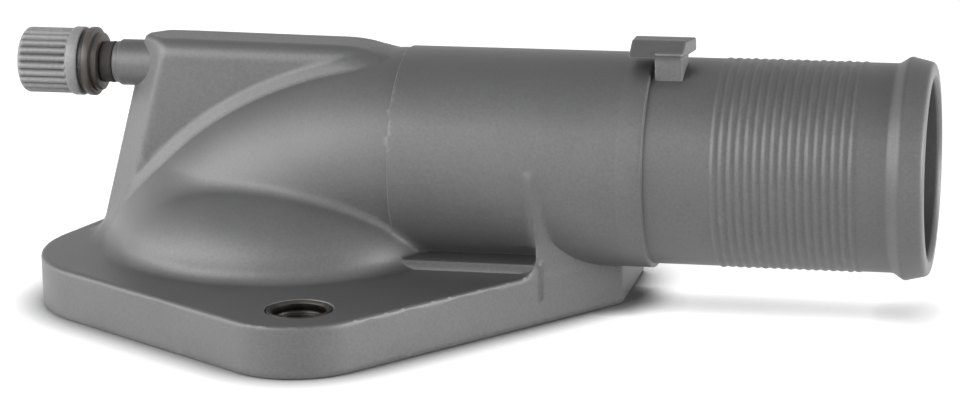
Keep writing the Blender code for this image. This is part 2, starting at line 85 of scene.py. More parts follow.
# Outlines that are turned about an axis, as (x, rise over a radius), in millimetres
BEAD_OUTLINE = (
    (96.5, 16.0), (96.8, 16.06), (97.2, 16.26), (97.6, 16.52), (98.0, 16.8), (98.3, 16.97),
    (98.55, 17.05), (98.85, 17.05), (99.05, 16.98), (99.3, 16.9), (100.0, 16.75), (100.8, 16.57),
    (101.4, 16.42), (101.7, 16.32), (101.9, 16.2), (102.05, 16.02), (102.13, 15.8), (102.18, 15.5),
)
BOSS_OUTLINE = (
    (-27.3, 3.1), (-27.15, 3.25), (-27.0, 3.3), (-26.55, 3.3), (-26.5, 3.4), (-26.45, 3.52),
    (-26.3, 3.62), (-26.1, 3.65), (-16.2, 3.65),
)
BOLT_HOLE_OUTLINE = ((-1.0, 5.9), (0.0, 5.3), (0.35, 4.95), (7.6, 4.95), (8.0, 5.25), (9.0, 6.0))
SEAL_GROOVE_OUTLINE = ((-1.0, 27.2), (2.5, 27.2), (2.7, 27.4), (2.7, 30.6), (2.5, 30.8), (-1.0, 30.8))
BLEED_BORE_OUTLINE = ((-30.0, 2.9), (-27.3, 2.75), (-26.9, 2.5), (-21.8, 2.5), (-20.4, 1.1), (-16.4, 1.1))
CAP_SHOULDER = ((-34.6, 0.0), (-34.45, 0.0), (-34.35, 0.0), (-34.25, 0.08))
SCREW_RINGS = (
    (-34.15, -0.05), (-34.0, 0.0), (-32.75, 0.0), (-32.6, -0.05), (-32.5, -0.2), (-32.45, -0.5),
    (-32.35, -0.6), (-31.85, -0.6), (-31.75, -0.5), (-31.7, -0.2), (-31.6, -0.04), (-31.45, 0.0),
    (-30.75, 0.0), (-30.6, -0.05), (-30.5, -0.25),
)
SCREW_COLLAR = ((-30.48, 0.15), (-30.4, 0.0), (-29.75, 0.0), (-29.6, -0.08), (-29.5, -0.3))
BLEED_RING_OUTLINE = (
    (-29.45, 2.5), (-29.48, 3.0), (-29.4, 3.2), (-29.15, 3.3), (-28.4, 3.22), (-27.65, 3.3),
    (-27.42, 3.2), (-27.34, 3.0), (-27.34, 2.6), (-27.6, 2.4), (-29.2, 2.4),
)

# The camera, solved from the photograph's outlines, and the lamps' aim
PHOTO_WIDTH = 960.0
FOCAL_LENGTH_IN_PIXELS = 3499.36
SENSOR_WIDTH = 36.0
CAMERA_AZIMUTH = 12.79
CAMERA_ELEVATION = 14.593
CAMERA_ROLL = -1.092
CAMERA_PLACE = (0.14919, -0.51887, 0.15293)
LAMP_AIM = Vector((0.005, 0.0, 0.02))
LAMP_SIZE = (0.45, 0.3)
WHITE = (1.0, 1.0, 1.0, 1.0)


def linear(code):
    """An sRGB hex code as linear red, green and blue."""
    channels = [int(code[i:i + 2], 16) / 255 for i in (1, 3, 5)]
    return tuple(c / 12.92 if c <= 0.04045 else ((c + 0.055) / 1.055) ** 2.4 for c in channels)


# Settings that a user would change


class HousingSizes(bpy.types.PropertyGroup):
    """Sizes of the moulded housing"""

    cell: FloatProperty(
        name="Cell",
        description="Edge of the grid cells that the casting is meshed with",
        default=0.5 * MM, min=0.3 * MM, max=2.0 * MM, unit="LENGTH", precision=5,
    )
    flange_height: FloatProperty(
        name="Flange height", description="Thickness of the flange",
        default=8.0 * MM, unit="LENGTH", precision=5,
    )
    flange_edge: FloatProperty(
        name="Flange edge", description="Rounding of the flange's top edge",
        default=0.5 * MM, unit="LENGTH", precision=5,
    )
    foot_edge: FloatProperty(
        name="Foot edge", description="Rounding of the flange's lower edge",
        default=0.4 * MM, unit="LENGTH", precision=5,
    )
    dome_radius: FloatProperty(
        name="Dome radius", description="Radius of the dome at the flange",
        default=27.0 * MM, unit="LENGTH", precision=5,
    )
    dome_rise: FloatProperty(
        name="Dome rise", description="Height of the dome over the flange",
        default=14.7 * MM, unit="LENGTH", precision=5,
    )
    dome_fillet: FloatProperty(
        name="Dome fillet", description="Radius of the concave corner at the dome's foot",
        default=2.0 * MM, unit="LENGTH", precision=5,
    )
    elbow_radius: FloatProperty(
        name="Elbow radius", description="Radius of the elbow where it reaches the neck",
        default=16.4 * MM, unit="LENGTH", precision=5,
    )
    neck_radius: FloatProperty(
        name="Neck radius", description="Radius of the thick neck",
        default=16.65 * MM, unit="LENGTH", precision=5,
    )
    pad_half_width: FloatProperty(
        name="Pad half width", description="Half the width of the low pad that the neck lies on",
        default=15.3 * MM, unit="LENGTH", precision=5,
    )
    pad_height: FloatProperty(
        name="Pad height", description="Height of the pad's front edge over the flange",
        default=1.6 * MM, unit="LENGTH", precision=5,
    )
    web_half_width: FloatProperty(
        name="Web half width", description="Half the thickness of the hollow web",
        default=5.7 * MM, unit="LENGTH", precision=5,
    )
    web_top: FloatProperty(
        name="Web top", description="Height of the web's top face",
        default=40.65 * MM, unit="LENGTH", precision=5,
    )
    web_edge: FloatProperty(
        name="Web edge", description="Rounding of the web's top edges",
        default=2.8 * MM, unit="LENGTH", precision=5,
    )
    web_chamfer: FloatProperty(
        name="Web chamfer", description="Width that the chamfers take off the web's upright edges",
        default=4.6 * MM, unit="LENGTH", precision=5,
    )
    block_start: FloatProperty(
        name="Block start", description="Where the toe block begins along the spigot's axis",
        default=43.4 * MM, unit="LENGTH", precision=5,
    )
    chamber_radius: FloatProperty(
        name="Chamber radius", description="Radius of the thermostat chamber",
        default=23.5 * MM, unit="LENGTH", precision=5,
    )


class SpigotSizes(bpy.types.PropertyGroup):
    """Sizes of the hose spigot"""

    radius: FloatProperty(
        name="Radius", description="Radius of the plain wall under the hose",
        default=16.0 * MM, unit="LENGTH", precision=5,
    )
    bore_radius: FloatProperty(
        name="Bore radius", description="Radius of the way for the coolant",
        default=13.7 * MM, unit="LENGTH", precision=5,
    )
    step: FloatProperty(
        name="Step", description="Where the neck steps down to the spigot",
        default=59.9 * MM, unit="LENGTH", precision=5,
    )
    ridge_start: FloatProperty(
        name="Ridge start", description="Where the grip ridges begin",
        default=70.1 * MM, unit="LENGTH", precision=5,
    )
    ridge_pitch: FloatProperty(
        name="Ridge pitch", description="Distance from one grip ridge to the next",
        default=1.3 * MM, unit="LENGTH", precision=5,
    )
    ridge_height: FloatProperty(
        name="Ridge height", description="How far the grip ridges stand out",
        default=0.22 * MM, unit="LENGTH", precision=5,
    )
    ridge_count: IntProperty(
        name="Ridge count", description="Number of grip ridges", default=17, min=0,
    )
    segments: IntProperty(
        name="Segments", description="Facets round the spigot", default=192, min=48,
    )


class ScrewSizes(bpy.types.PropertyGroup):
    """Sizes of the bleed screw and its rubber ring"""

    cap_radius: FloatProperty(
        name="Cap radius", description="Radius over the knurl",
        default=5.2 * MM, unit="LENGTH", precision=5,
    )
    rib_count: IntProperty(
        name="Ribs", description="Ribs round the cap", default=24, min=3,
    )
    rib_depth: FloatProperty(
        name="Rib depth", description="Depth of the grooves between the ribs",
        default=0.45 * MM, unit="LENGTH", precision=5,
    )
    ring_radius: FloatProperty(
        name="Ring radius", description="Radius of the two smooth rings",
        default=5.45 * MM, unit="LENGTH", precision=5,
    )
    thread_radius: FloatProperty(
        name="Thread radius", description="Radius over the thread's crests",
        default=2.4 * MM, unit="LENGTH", precision=5,
    )
    thread_pitch: FloatProperty(
        name="Thread pitch", description="Travel of the screw in one turn",
        default=1.0 * MM, unit="LENGTH", precision=5,
    )
    segments: IntProperty(
        name="Segments", description="Facets round the cap", default=240, min=48,
    )


class FinishColours(bpy.types.PropertyGroup):
    """Colours of the finishes"""

    housing_nylon: FloatVectorProperty(
        name="Housing nylon", description="Glass-filled nylon of the housing",
        subtype="COLOR", default=linear("#666667"), min=0.0, max=1.0,
    )
    screw_nylon: FloatVectorProperty(
        name="Screw nylon", description="Unfilled nylon of the bleed screw",
        subtype="COLOR", default=linear("#808080"), min=0.0, max=1.0,
    )
    dried_coolant: FloatVectorProperty(
        name="Dried coolant", description="Brown residue on the bleed screw's collar",
        subtype="COLOR", default=linear("#38322e"), min=0.0, max=1.0,
    )
    sleeve_steel: FloatVectorProperty(
        name="Sleeve steel", description="Zinc-plated steel of the bolt sleeves",
        subtype="COLOR", default=linear("#4a4744"), min=0.0, max=1.0,
    )
    seal_rubber: FloatVectorProperty(
        name="Seal rubber", description="Rubber of the flange seal",
        subtype="COLOR", default=linear("#2b2a29"), min=0.0, max=1.0,
    )
    ring_rubber: FloatVectorProperty(
        name="Ring rubber", description="Rubber of the bleed screw's ring",
        subtype="COLOR", default=linear("#302c2a"), min=0.0, max=1.0,
    )


class StageSettings(bpy.types.PropertyGroup):
    """Floor, lights and camera"""

    floor_half: FloatProperty(
        name="Floor half width", description="Half the side of the floor",
        default=1.5, unit="LENGTH",
    )
    key_power: FloatProperty(
        name="Key power", description="Power of the raised light at the front left",
        default=2.0, unit="POWER",
    )
    left_power: FloatProperty(
        name="Left power", description="Power of the low light on the left",
        default=1.4, unit="POWER",
    )
    front_power: FloatProperty(
        name="Front power", description="Power of the low light beside the camera",
        default=0.4, unit="POWER",
    )
    right_power: FloatProperty(
        name="Right power", description="Power of the low light on the right",
        default=5.6, unit="POWER",
    )
    sky_strength: FloatProperty(
        name="Sky strength", description="Strength of the even light from all round",
        default=0.02, min=0.0,
    )


# Fields of signed distance that shape the casting


def round_union(a, b, radius):
    """The nearer of two fields, with a concave corner of the radius where they meet."""
    corner = np.hypot(np.maximum(radius - a, 0.0), np.maximum(radius - b, 0.0))
    return np.maximum(radius, np.minimum(a, b)) - corner


def round_common(a, b, radius):
    """The farther of two fields, with the outer edge rounded off."""
    corner = np.hypot(np.maximum(radius + a, 0.0), np.maximum(radius + b, 0.0))
    return np.minimum(-radius, np.maximum(a, b)) + corner


def chamfer_union(a, b, width):
    """The nearer of two fields, with a flat strip in the concave corner where they meet."""
    return np.minimum(np.minimum(a, b), (a + b - width) / math.sqrt(2.0))


def ramp(value, start, end):
    """Rises smoothly from 0 at start to 1 at end."""
    share = np.clip((value - start) / (end - start), 0.0, 1.0)
    return share * share * (3.0 - 2.0 * share)


def flange_discs():
    """Discs that the flange's outline is stretched round, counterclockwise, as (x, y, radius)."""
    bolt_angle = math.radians(-72.3)
    ear_offset = 38.2 * MM
    ear_radius = 12.4 * MM
    heel_angle = bolt_angle - math.radians(82.8)
    heel_offset = 19.8 * MM
    heel_radius = 19.5 * MM
    toe_x = 53.0 * MM
    toe_front = -1.4 * MM
    toe_back = 17.0 * MM
    toe_radius = 1.4 * MM
    ear = (ear_offset * math.cos(bolt_angle), ear_offset * math.sin(bolt_angle))
    return [
        (ear[0], ear[1], ear_radius),
        (toe_x, toe_front, toe_radius),
        (toe_x, toe_back, toe_radius),
        (-ear[0], -ear[1], ear_radius),
        (heel_offset * math.cos(heel_angle), heel_offset * math.sin(heel_angle), heel_radius),
    ]


def band_distance(x, y, discs):
    """Signed distance to a band stretched round the discs."""
    count = len(discs)
    normals = []
    for i in range(count):
        ax, ay, ar = discs[i]
        bx, by, br = discs[(i + 1) % count]
        heading = math.atan2(by - ay, bx - ax)
        normals.append(heading - math.acos((ar - br) / math.hypot(bx - ax, by - ay)))
    result = None
    for i in range(count):
        cx, cy, radius = discs[i]
        low = normals[i - 1]
        span = (normals[i] - low) % (2 * math.pi)
        middle = low + span / 2
        turn = np.arctan2(y - cy, x - cx) - middle
        turn = (turn + math.pi) % (2 * math.pi) - math.pi
        angle = middle + np.clip(turn, -span / 2, span / 2)
        reach = np.cos(angle) * (x - cx) + np.sin(angle) * (y - cy) - radius
        result = reach if result is None else np.maximum(result, reach)
    return result


def oval(u, v, half_u, half_v):
    """Signed distance, nearly, to an ellipse with the two half axes."""
    first = np.sqrt((u / half_u) ** 2 + (v / half_v) ** 2)
    second = np.sqrt((u / half_u ** 2) ** 2 + (v / half_v ** 2) ** 2)
    return first * (first - 1.0) / np.maximum(second, 1.0)


def dome_distance(x, y, z, base, radius, rise):
    """Signed distance, nearly, to a flattened dome over the height base."""
    first = np.sqrt((x / radius) ** 2 + (y / radius) ** 2 + ((z - base) / rise) ** 2)
    second = np.sqrt((x / radius ** 2) ** 2 + (y / radius ** 2) ** 2 + ((z - base) / rise ** 2) ** 2)
    return first * (first - 1.0) / np.maximum(second, 1.0)


def elbow_distance(x, y, z, radius, wall, base_half_width, limit=None):
    """Signed distance, nearly, to the sweep of ovals that lean about a pivot under the neck."""
    pivot_height = 6.0 * MM
    upright = PIPE_AXIS_HEIGHT + radius + wall - pivot_height
    reach_level = 51.5 * MM
    sweep = 1.25
    least_cosine = 0.02
    along = np.maximum(NECK_START - x, 0.0)
    lean = np.arctan2(np.maximum(z - pivot_height, 0.0), along)
    sine = np.sin(lean)
    outer = upright + (reach_level - upright) * (1.0 - sine) ** sweep - wall
    if limit:
        outer = np.minimum(outer, (NECK_START + limit) / np.maximum(np.cos(lean), least_cosine))
    inner = PIPE_AXIS_HEIGHT - radius - pivot_height
    half_width = base_half_width + (radius - base_half_width) * sine
    reach = np.hypot(along, z - pivot_height)
    return oval(reach - (inner + outer) / 2, y, (outer - inner) / 2, half_width)


def pipe_distance(x, y, z, radius):
    """Signed distance to the elbow's upright section carried on along X."""
    return np.hypot(y, z - PIPE_AXIS_HEIGHT) - radius


def web_left(z, sizes):
    """X of the web's leaning left edge at a height."""
    return WEB_TOP_LEFT - (sizes.web_top - z) * WEB_SLOPE


def web_distance(x, y, z, sizes):
    """Signed distance to the web, whose top falls away where it runs out on the neck."""
    soft_edge = 0.6 * MM
    right_end = 27.0 * MM
    sides = np.abs(y) - sizes.web_half_width
    left = (web_left(z, sizes) - x) / math.hypot(1.0, WEB_SLOPE)
    chamfer = (sides + left + sizes.web_chamfer) / math.sqrt(2.0)
    end_fall = 2.9 * MM * ramp(x, 9.0 * MM, 24.0 * MM) ** 1.5
    steady_fall = 0.012 * np.maximum(x + 15.0 * MM, 0.0)
    fall = end_fall + steady_fall
    body = round_common(sides, z - sizes.web_top + fall, sizes.web_edge)
    body = round_common(body, chamfer, soft_edge)
    body = round_common(body, left, soft_edge)
    return np.maximum(body, x - right_end)


def pad_distance(x, y, z, sizes):
    """Low pad between neck and flange, which ends inside the toe block."""
    edge = 0.3 * MM
    into_block = 1.0 * MM
    sides = np.abs(y) - sizes.pad_half_width
    top = z - sizes.flange_height - sizes.pad_height
    body = round_common(sides, top, edge)
    ends = np.maximum(-x, x - sizes.block_start - into_block)
    return np.maximum(np.maximum(body, FOOT_LEVEL - z), ends)


def block_distance(x, y, z, outline, sizes):
    """Toe block with the flange's own sides, and the concave corner at its foot."""
    inset = 0.05 * MM
    front_edge = 0.4 * MM
    foot_edge = 0.6 * MM
    ball = 2.5 * MM
    start = sizes.block_start
    side = outline + inset
    back = y - BLOCK_BACK
    block = round_common(side, start - x, front_edge)
    block = np.maximum(np.maximum(block, z - PIPE_AXIS_HEIGHT), back)
    corner_x = start - ball
    corner_z = sizes.flange_height + ball
    foot = np.maximum(ball - np.hypot(x - corner_x, z - corner_z), corner_x - x)
    foot = np.maximum(np.maximum(foot, z - corner_z), x - start - ball)
    foot = round_common(foot, side, foot_edge)
    foot = np.maximum(foot, back)
    return np.maximum(np.minimum(block, foot), FOOT_LEVEL - z)


def pipe_and_elbow_distance(x, y, z, sizes):
    """Signed distance to the elbow and the neck, with the small step of the weld between them."""
    weld_half_width = 0.1 * MM
    overlap = 0.5 * MM
    elbow_base = 16.8 * MM
    elbow = elbow_distance(x, y, z, sizes.elbow_radius, 0.0, elbow_base)
    weld_start = NECK_START - weld_half_width
    weld_end = NECK_START + weld_half_width
    share = np.clip((x - weld_start) / (weld_end - weld_start), 0.0, 1.0)
    step = (sizes.neck_radius - sizes.elbow_radius) * share
    pipe = pipe_distance(x, y, z, sizes.elbow_radius + step)
    pipe = np.where(x < NECK_START - overlap, elbow, pipe)
    return np.maximum(pipe, x - NECK_BODY_END)


def hollow_distance(x, y, z, sizes):
    """Signed distance to the thermostat chamber, the elbow way over it and the web's air pocket."""
    way_radius = 13.45 * MM
    way_base = 13.8 * MM
    way_end = 30.0 * MM
    chamber_edge = 0.6 * MM
    chamber = np.hypot(x, y) - sizes.chamber_radius
    ceiling_rise = sizes.dome_rise - CASTING_WALL
    ceiling = dome_distance(x, y, z, sizes.flange_height, sizes.chamber_radius, ceiling_rise)
    chamber = np.where(z < sizes.flange_height, chamber, ceiling)
    limit = sizes.chamber_radius - 0.3 * MM
    way = elbow_distance(x, y, z, way_radius, CASTING_WALL, way_base, limit)
    way = np.where(x < NECK_START, way, pipe_distance(x, y, z, way_radius))
    way = np.maximum(way, x - way_end)
    hollow = round_union(chamber, way, chamber_edge)

    pocket_left_wall = 4.6 * MM
    pocket_right = 8.0 * MM
    pocket_floor = 14.0 * MM
    pocket_edge = 1.0 * MM
    sides = np.abs(y) - (sizes.web_half_width - CASTING_WALL)
    pocket = np.maximum(web_left(z, sizes) + pocket_left_wall - x, z - sizes.web_top + CASTING_WALL)
    pocket = np.maximum(pocket, np.maximum(x - pocket_right, pocket_floor - z))
    return np.minimum(hollow, round_common(sides, pocket, pocket_edge))


def casting_distance(x, y, z, sizes):
    """Signed field of the moulding up to the neck, with its hollows."""
    crisp = 0.1 * MM
    pad_corner = 0.25 * MM
    hollow_edge = 0.45 * MM
    outline = band_distance(x, y, flange_discs())
    flange = round_common(outline, z - sizes.flange_height, sizes.flange_edge)
    flange = round_common(flange, -z, sizes.foot_edge)

    # Dome and elbow meet in a crease that softens to the left
    dome = dome_distance(x, y, z, sizes.flange_height, sizes.dome_radius, sizes.dome_rise)
    pipe = pipe_and_elbow_distance(x, y, z, sizes)
    crease = 1.1 * MM + 1.6 * MM * ramp(-x, 8.0 * MM, 20.0 * MM)
    shell = round_union(dome, pipe, crease)

    # A flat strip runs between web and elbow, and dies out towards the neck
    web_strip = 1.25 * MM * (1.0 - ramp(x, 12.0 * MM, 20.0 * MM)) + crisp
    shell = chamfer_union(shell, web_distance(x, y, z, sizes), web_strip)
    shell = np.maximum(shell, FOOT_LEVEL - z)

    # The corner at the dome's foot is widest at the left and crisp under the neck
    foot = sizes.dome_fillet + 1.0 * MM * ramp(-x, 20.0 * MM, 27.0 * MM)
    foot = foot * (1.0 - ramp(x, 24.0 * MM, 30.0 * MM)) + crisp
    body = round_union(flange, shell, foot)
    body = round_union(body, pad_distance(x, y, z, sizes), pad_corner)

    # Only the block's left edge blends softly into the neck
    block_corner = crisp + 1.8 * MM * (1.0 - ramp(x, sizes.block_start, sizes.block_start + 2.5 * MM))
    block_corner = crisp + (block_corner - crisp) * ramp(z, 9.0 * MM, 12.0 * MM)
    body = round_union(body, block_distance(x, y, z, outline, sizes), block_corner)
    return round_common(body, -hollow_distance(x, y, z, sizes), hollow_edge)


# Meshing


def slope(field, x, y, z):
    """Gradient of the field at points, by central differences."""
    h = 0.02 * MM
    return np.stack([
        field(x + h, y, z) - field(x - h, y, z),
        field(x, y + h, z) - field(x, y - h, z),
        field(x, y, z + h) - field(x, y, z - h),
    ], axis=1) / (2 * h)


def contour(field, low, high, cell):
    """Points and quads of the field's zero level, with its creases kept."""
    pull_to_middle = 0.06
    longest_shift = 0.8 * cell
    longest_last_move = 0.4 * cell
    axes = [np.arange(a, b + cell, cell) for a, b in zip(low, high)]
    values = field(axes[0][:, None, None], axes[1][None, :, None], axes[2][None, None, :])
    shape = values.shape
    inside = values < 0
    origin = np.array([axis[0] for axis in axes])
    places, cells, flips = [], [], []
    for axis in range(3):
        forward = np.eye(3, dtype=int)[axis]
        across = [(axis + 1) % 3, (axis + 2) % 3]
        here = np.take(inside, np.arange(shape[axis] - 1), axis)
        there = np.take(inside, np.arange(1, shape[axis]), axis)
        start = np.argwhere(here != there)
        first = values[tuple(start.T)]
        second = values[tuple((start + forward).T)]
        share = first / (first - second)
        places.append(origin + cell * (start + share[:, None] * forward))
        around = []
        for du, dv in ((0, 0), (1, 0), (1, 1), (0, 1)):
            corner = start.copy()
            corner[:, across[0]] -= du
            corner[:, across[1]] -= dv
            around.append(np.ravel_multi_index(tuple(corner.T), shape))
        cells.append(np.stack(around, axis=1))
        flips.append(first < 0)
    places = np.concatenate(places)
    cells = np.concatenate(cells)
    flips = np.concatenate(flips)

    normals = slope(field, *places.T)
    normals /= np.maximum(np.linalg.norm(normals, axis=1, keepdims=True), 1e-9)
    used, index = np.unique(cells, return_inverse=True)
    index = index.reshape(cells.shape)
    flat = index.ravel()
    count = len(used)
    hits = np.bincount(flat, minlength=count)[:, None]

    def gather(value):
        return np.bincount(flat, weights=np.repeat(value, 4), minlength=count)

    middle = np.stack([gather(places[:, k]) for k in range(3)], axis=1) / hits
    offset = np.sum(normals * places, axis=1)
    squares = np.zeros((count, 3, 3))
    for i in range(3):
        for j in range(i, 3):
            squares[:, i, j] = squares[:, j, i] = gather(normals[:, i] * normals[:, j])
    pull = np.stack([gather(normals[:, k] * offset) for k in range(3)], axis=1)
    pull -= np.einsum("nij,nj->ni", squares, middle)
    squares += pull_to_middle * np.eye(3)
    shift = np.linalg.solve(squares, pull[:, :, None])[:, :, 0]
    points = middle + np.clip(shift, -longest_shift, longest_shift)
    value = field(*points.T)
    gradient = slope(field, *points.T)
    length = np.maximum(np.sum(gradient ** 2, axis=1), 0.2)
    move = gradient * (value / length)[:, None]
    points -= np.clip(move, -longest_last_move, longest_last_move)
    quads = np.where(flips[:, None], index, index[:, ::-1])
    return points, quads


def mesh_object(name, points, faces):
    """An object made of points and faces."""
    mesh = bpy.data.meshes.new(name)
    mesh.from_pydata(np.asarray(points).tolist(), [], [list(face) for face in faces])
    mesh.validate()
    item = bpy.data.objects.new(name, mesh)
    bpy.context.scene.collection.objects.link(item)
    return item


def in_metres(points, radius=0.0):
    """Points given as (x, rise) in millimetres, as (x, radius + rise) in metres."""
    return [(x * MM, radius + rise * MM) for x, rise in points]


def lathe(name, profile, segments, reach=None, closed=False):
    """A profile of (place along X, radius) turned about X; reach may change a point's radius."""
    profile = np.array(profile)
    count = len(profile)
    turn = np.arange(segments) * 2 * math.pi / segments
    along = np.repeat(profile[:, :1], segments, axis=1)
    radius = np.repeat(profile[:, 1:], segments, axis=1)
    if reach:
        radius = reach(along, turn[None, :], radius)
    points = np.stack([along, radius * np.cos(turn), radius * np.sin(turn)], axis=2).reshape(-1, 3)
    faces = []
    rows = count if closed else count - 1
    for i in range(rows):
        a = i * segments
        b = (i + 1) % count * segments
        for j in range(segments):
            k = (j + 1) % segments
            faces.append((a + j, a + k, b + k, b + j))
    if not closed:
        faces.append(tuple(range(segments - 1, -1, -1)))
        faces.append(tuple(range((count - 1) * segments, count * segments)))
    item = mesh_object(name, points, faces)
    make_faces_point_out(item)
    return item


def make_faces_point_out(item):
    """Turns the faces of a closed mesh outwards."""
    bm = bmesh.new()
    bm.from_mesh(item.data)
    bmesh.ops.recalc_face_normals(bm, faces=bm.faces)
    bm.to_mesh(item.data)
    bm.free()


def place(item, matrix):
    """Moves an object's mesh, and leaves the object at the origin."""
    item.data.transform(matrix)
    item.data.update()


def lift(item, height):
    """Raises an object's mesh from the X axis to a height."""
    place(item, Matrix.Translation((0.0, 0.0, height)))


def apply_modifiers(item):
    """Replaces an object's mesh with what its modifiers make of it."""
    graph = bpy.context.evaluated_depsgraph_get()
    made = bpy.data.meshes.new_from_object(item.evaluated_get(graph))
    old = item.data
    item.modifiers.clear()
    item.data = made
    bpy.data.meshes.remove(old)


def combine(item, tools, operation):
    """Joins the tools to the object, or cuts them out of it, and removes them."""
    for tool in tools:
        modifier = item.modifiers.new(tool.name, "BOOLEAN")
        modifier.object = tool
        modifier.operation = operation
        modifier.solver = "MANIFOLD"
    apply_modifiers(item)
    for tool in tools:
        bpy.data.objects.remove(tool, do_unlink=True)


def check_closed(item):
    """Stops the script where a piece isn't one closed body."""
    bm = bmesh.new()
    bm.from_mesh(item.data)
    open_edges = sum(1 for edge in bm.edges if not edge.is_manifold)
    triangles = sum(len(face.verts) - 2 for face in bm.faces)
    bm.free()
    print(item.name, "triangles", triangles, "open edges", open_edges)
    if open_edges:
        raise RuntimeError(f"{item.name} has {open_edges} open edges")


def shade(item, angle, weighted=False):
    """Smooth shading with edges over the angle, in degrees, kept sharp."""
    item.data.shade_smooth()
    item.data.set_sharp_from_angle(angle=math.radians(angle))
    if weighted:
        modifier = item.modifiers.new("even_normals", "WEIGHTED_NORMAL")
        modifier.keep_sharp = True


# Materials


def add_node(tree, kind, values=None, links=None, **settings):
    """Adds a node, sets its settings and socket values, and links other nodes' outputs to it."""
    node = tree.nodes.new(kind)
    for key, value in settings.items():
        setattr(node, key, value)
    for key, value in (values or {}).items():
        node.inputs[key].default_value = value
    for key, (source, output) in (links or {}).items():
        tree.links.new(source.outputs[output], node.inputs[key])
    return node


def set_tones(node, *stops):
    """Gives a colour ramp its two stops, each as (position, colour)."""
    for element, (position, colour) in zip(node.color_ramp.elements, stops):
        element.position = position
        element.color = (*(min(1.0, channel) for channel in colour), 1.0)


def new_material(name, settings):
    """A Principled BSDF material with constants on the shader's own sockets."""
    material = bpy.data.materials.new(name)
    material.use_nodes = True
    tree = material.node_tree
    shader = tree.nodes["Principled BSDF"]
    for key, value in settings.items():
        shader.inputs[key].default_value = value
    return material, tree, shader


def spark_eroded_nylon(colour):
    """Glass-filled nylon moulded in a spark-eroded tool: matt grey with a fine pepper grain.

    The glass dulls the gloss, the resin flow shows as faint clouds some 10 mm across, handling
    has paled the edges, and faces that look up are darkened with painted shade. The eroded tool's
    grain is near 0.25 mm. It is drawn at 0.42 mm, because the finer one doesn't show.
    """
    grain_width = 0.42 * MM
    cloud_width = 11.0 * MM
    grain_depth = 0.025 * MM
    material, tree, shader = new_material("spark_eroded_glass_filled_nylon", {"IOR": 1.53, "Metallic": 0.0})
    place_in = add_node(tree, "ShaderNodeTexCoord")
    grain = add_node(
        tree, "ShaderNodeTexNoise", {"Scale": 1 / grain_width, "Detail": 3.0, "Roughness": 0.65},
        {"Vector": (place_in, "Object")},
    )
    clouds = add_node(
        tree, "ShaderNodeTexNoise", {"Scale": 1 / cloud_width, "Detail": 2.0},
        {"Vector": (place_in, "Object")},
    )
    pepper = add_node(tree, "ShaderNodeValToRGB", None, {"Fac": (grain, "Fac")})
    set_tones(pepper, (0.30, [c * 0.88 for c in colour]), (0.70, [c * 1.12 for c in colour]))
    cloudy = add_node(
        tree, "ShaderNodeMapRange", {"From Min": 0.3, "From Max": 0.7, "To Min": 0.93, "To Max": 1.05},
        {"Value": (clouds, "Fac")},
    )
    mixed = add_node(
        tree, "ShaderNodeVectorMath", None,
        {0: (pepper, "Color"), 1: (cloudy, "Result")}, operation="MULTIPLY",
    )
    surface_geometry = add_node(tree, "ShaderNodeNewGeometry")
    edge = add_node(
        tree, "ShaderNodeMapRange", {"From Min": 0.52, "From Max": 0.60, "To Min": 1.0, "To Max": 1.15},
        {"Value": (surface_geometry, "Pointiness")},
    )
    # Painted shade: faces that look up are darkened, down to 0.42 of their colour
    upward = add_node(tree, "ShaderNodeSeparateXYZ", None, {"Vector": (surface_geometry, "Normal")})
    painted_top_shade = add_node(
        tree, "ShaderNodeMapRange", {"From Min": 0.45, "From Max": 1.0, "To Min": 1.0, "To Max": 0.42},
        {"Value": (upward, "Z")},
    )
    paled = add_node(
        tree, "ShaderNodeVectorMath", None,
        {0: (mixed, "Vector"), 1: (edge, "Result")}, operation="MULTIPLY",
    )
    final = add_node(
        tree, "ShaderNodeVectorMath", None,
        {0: (paled, "Vector"), 1: (painted_top_shade, "Result")}, operation="MULTIPLY",
    )
    dull = add_node(
        tree, "ShaderNodeMapRange", {"From Min": 0.3, "From Max": 0.7, "To Min": 0.40, "To Max": 0.50},
        {"Value": (grain, "Fac")},
    )
    bump = add_node(
        tree, "ShaderNodeBump", {"Strength": 0.35, "Distance": grain_depth}, {"Height": (grain, "Fac")},
    )
    tree.links.new(final.outputs["Vector"], shader.inputs["Base Color"])
    tree.links.new(dull.outputs["Result"], shader.inputs["Roughness"])
    tree.links.new(bump.outputs["Normal"], shader.inputs["Normal"])
    return material


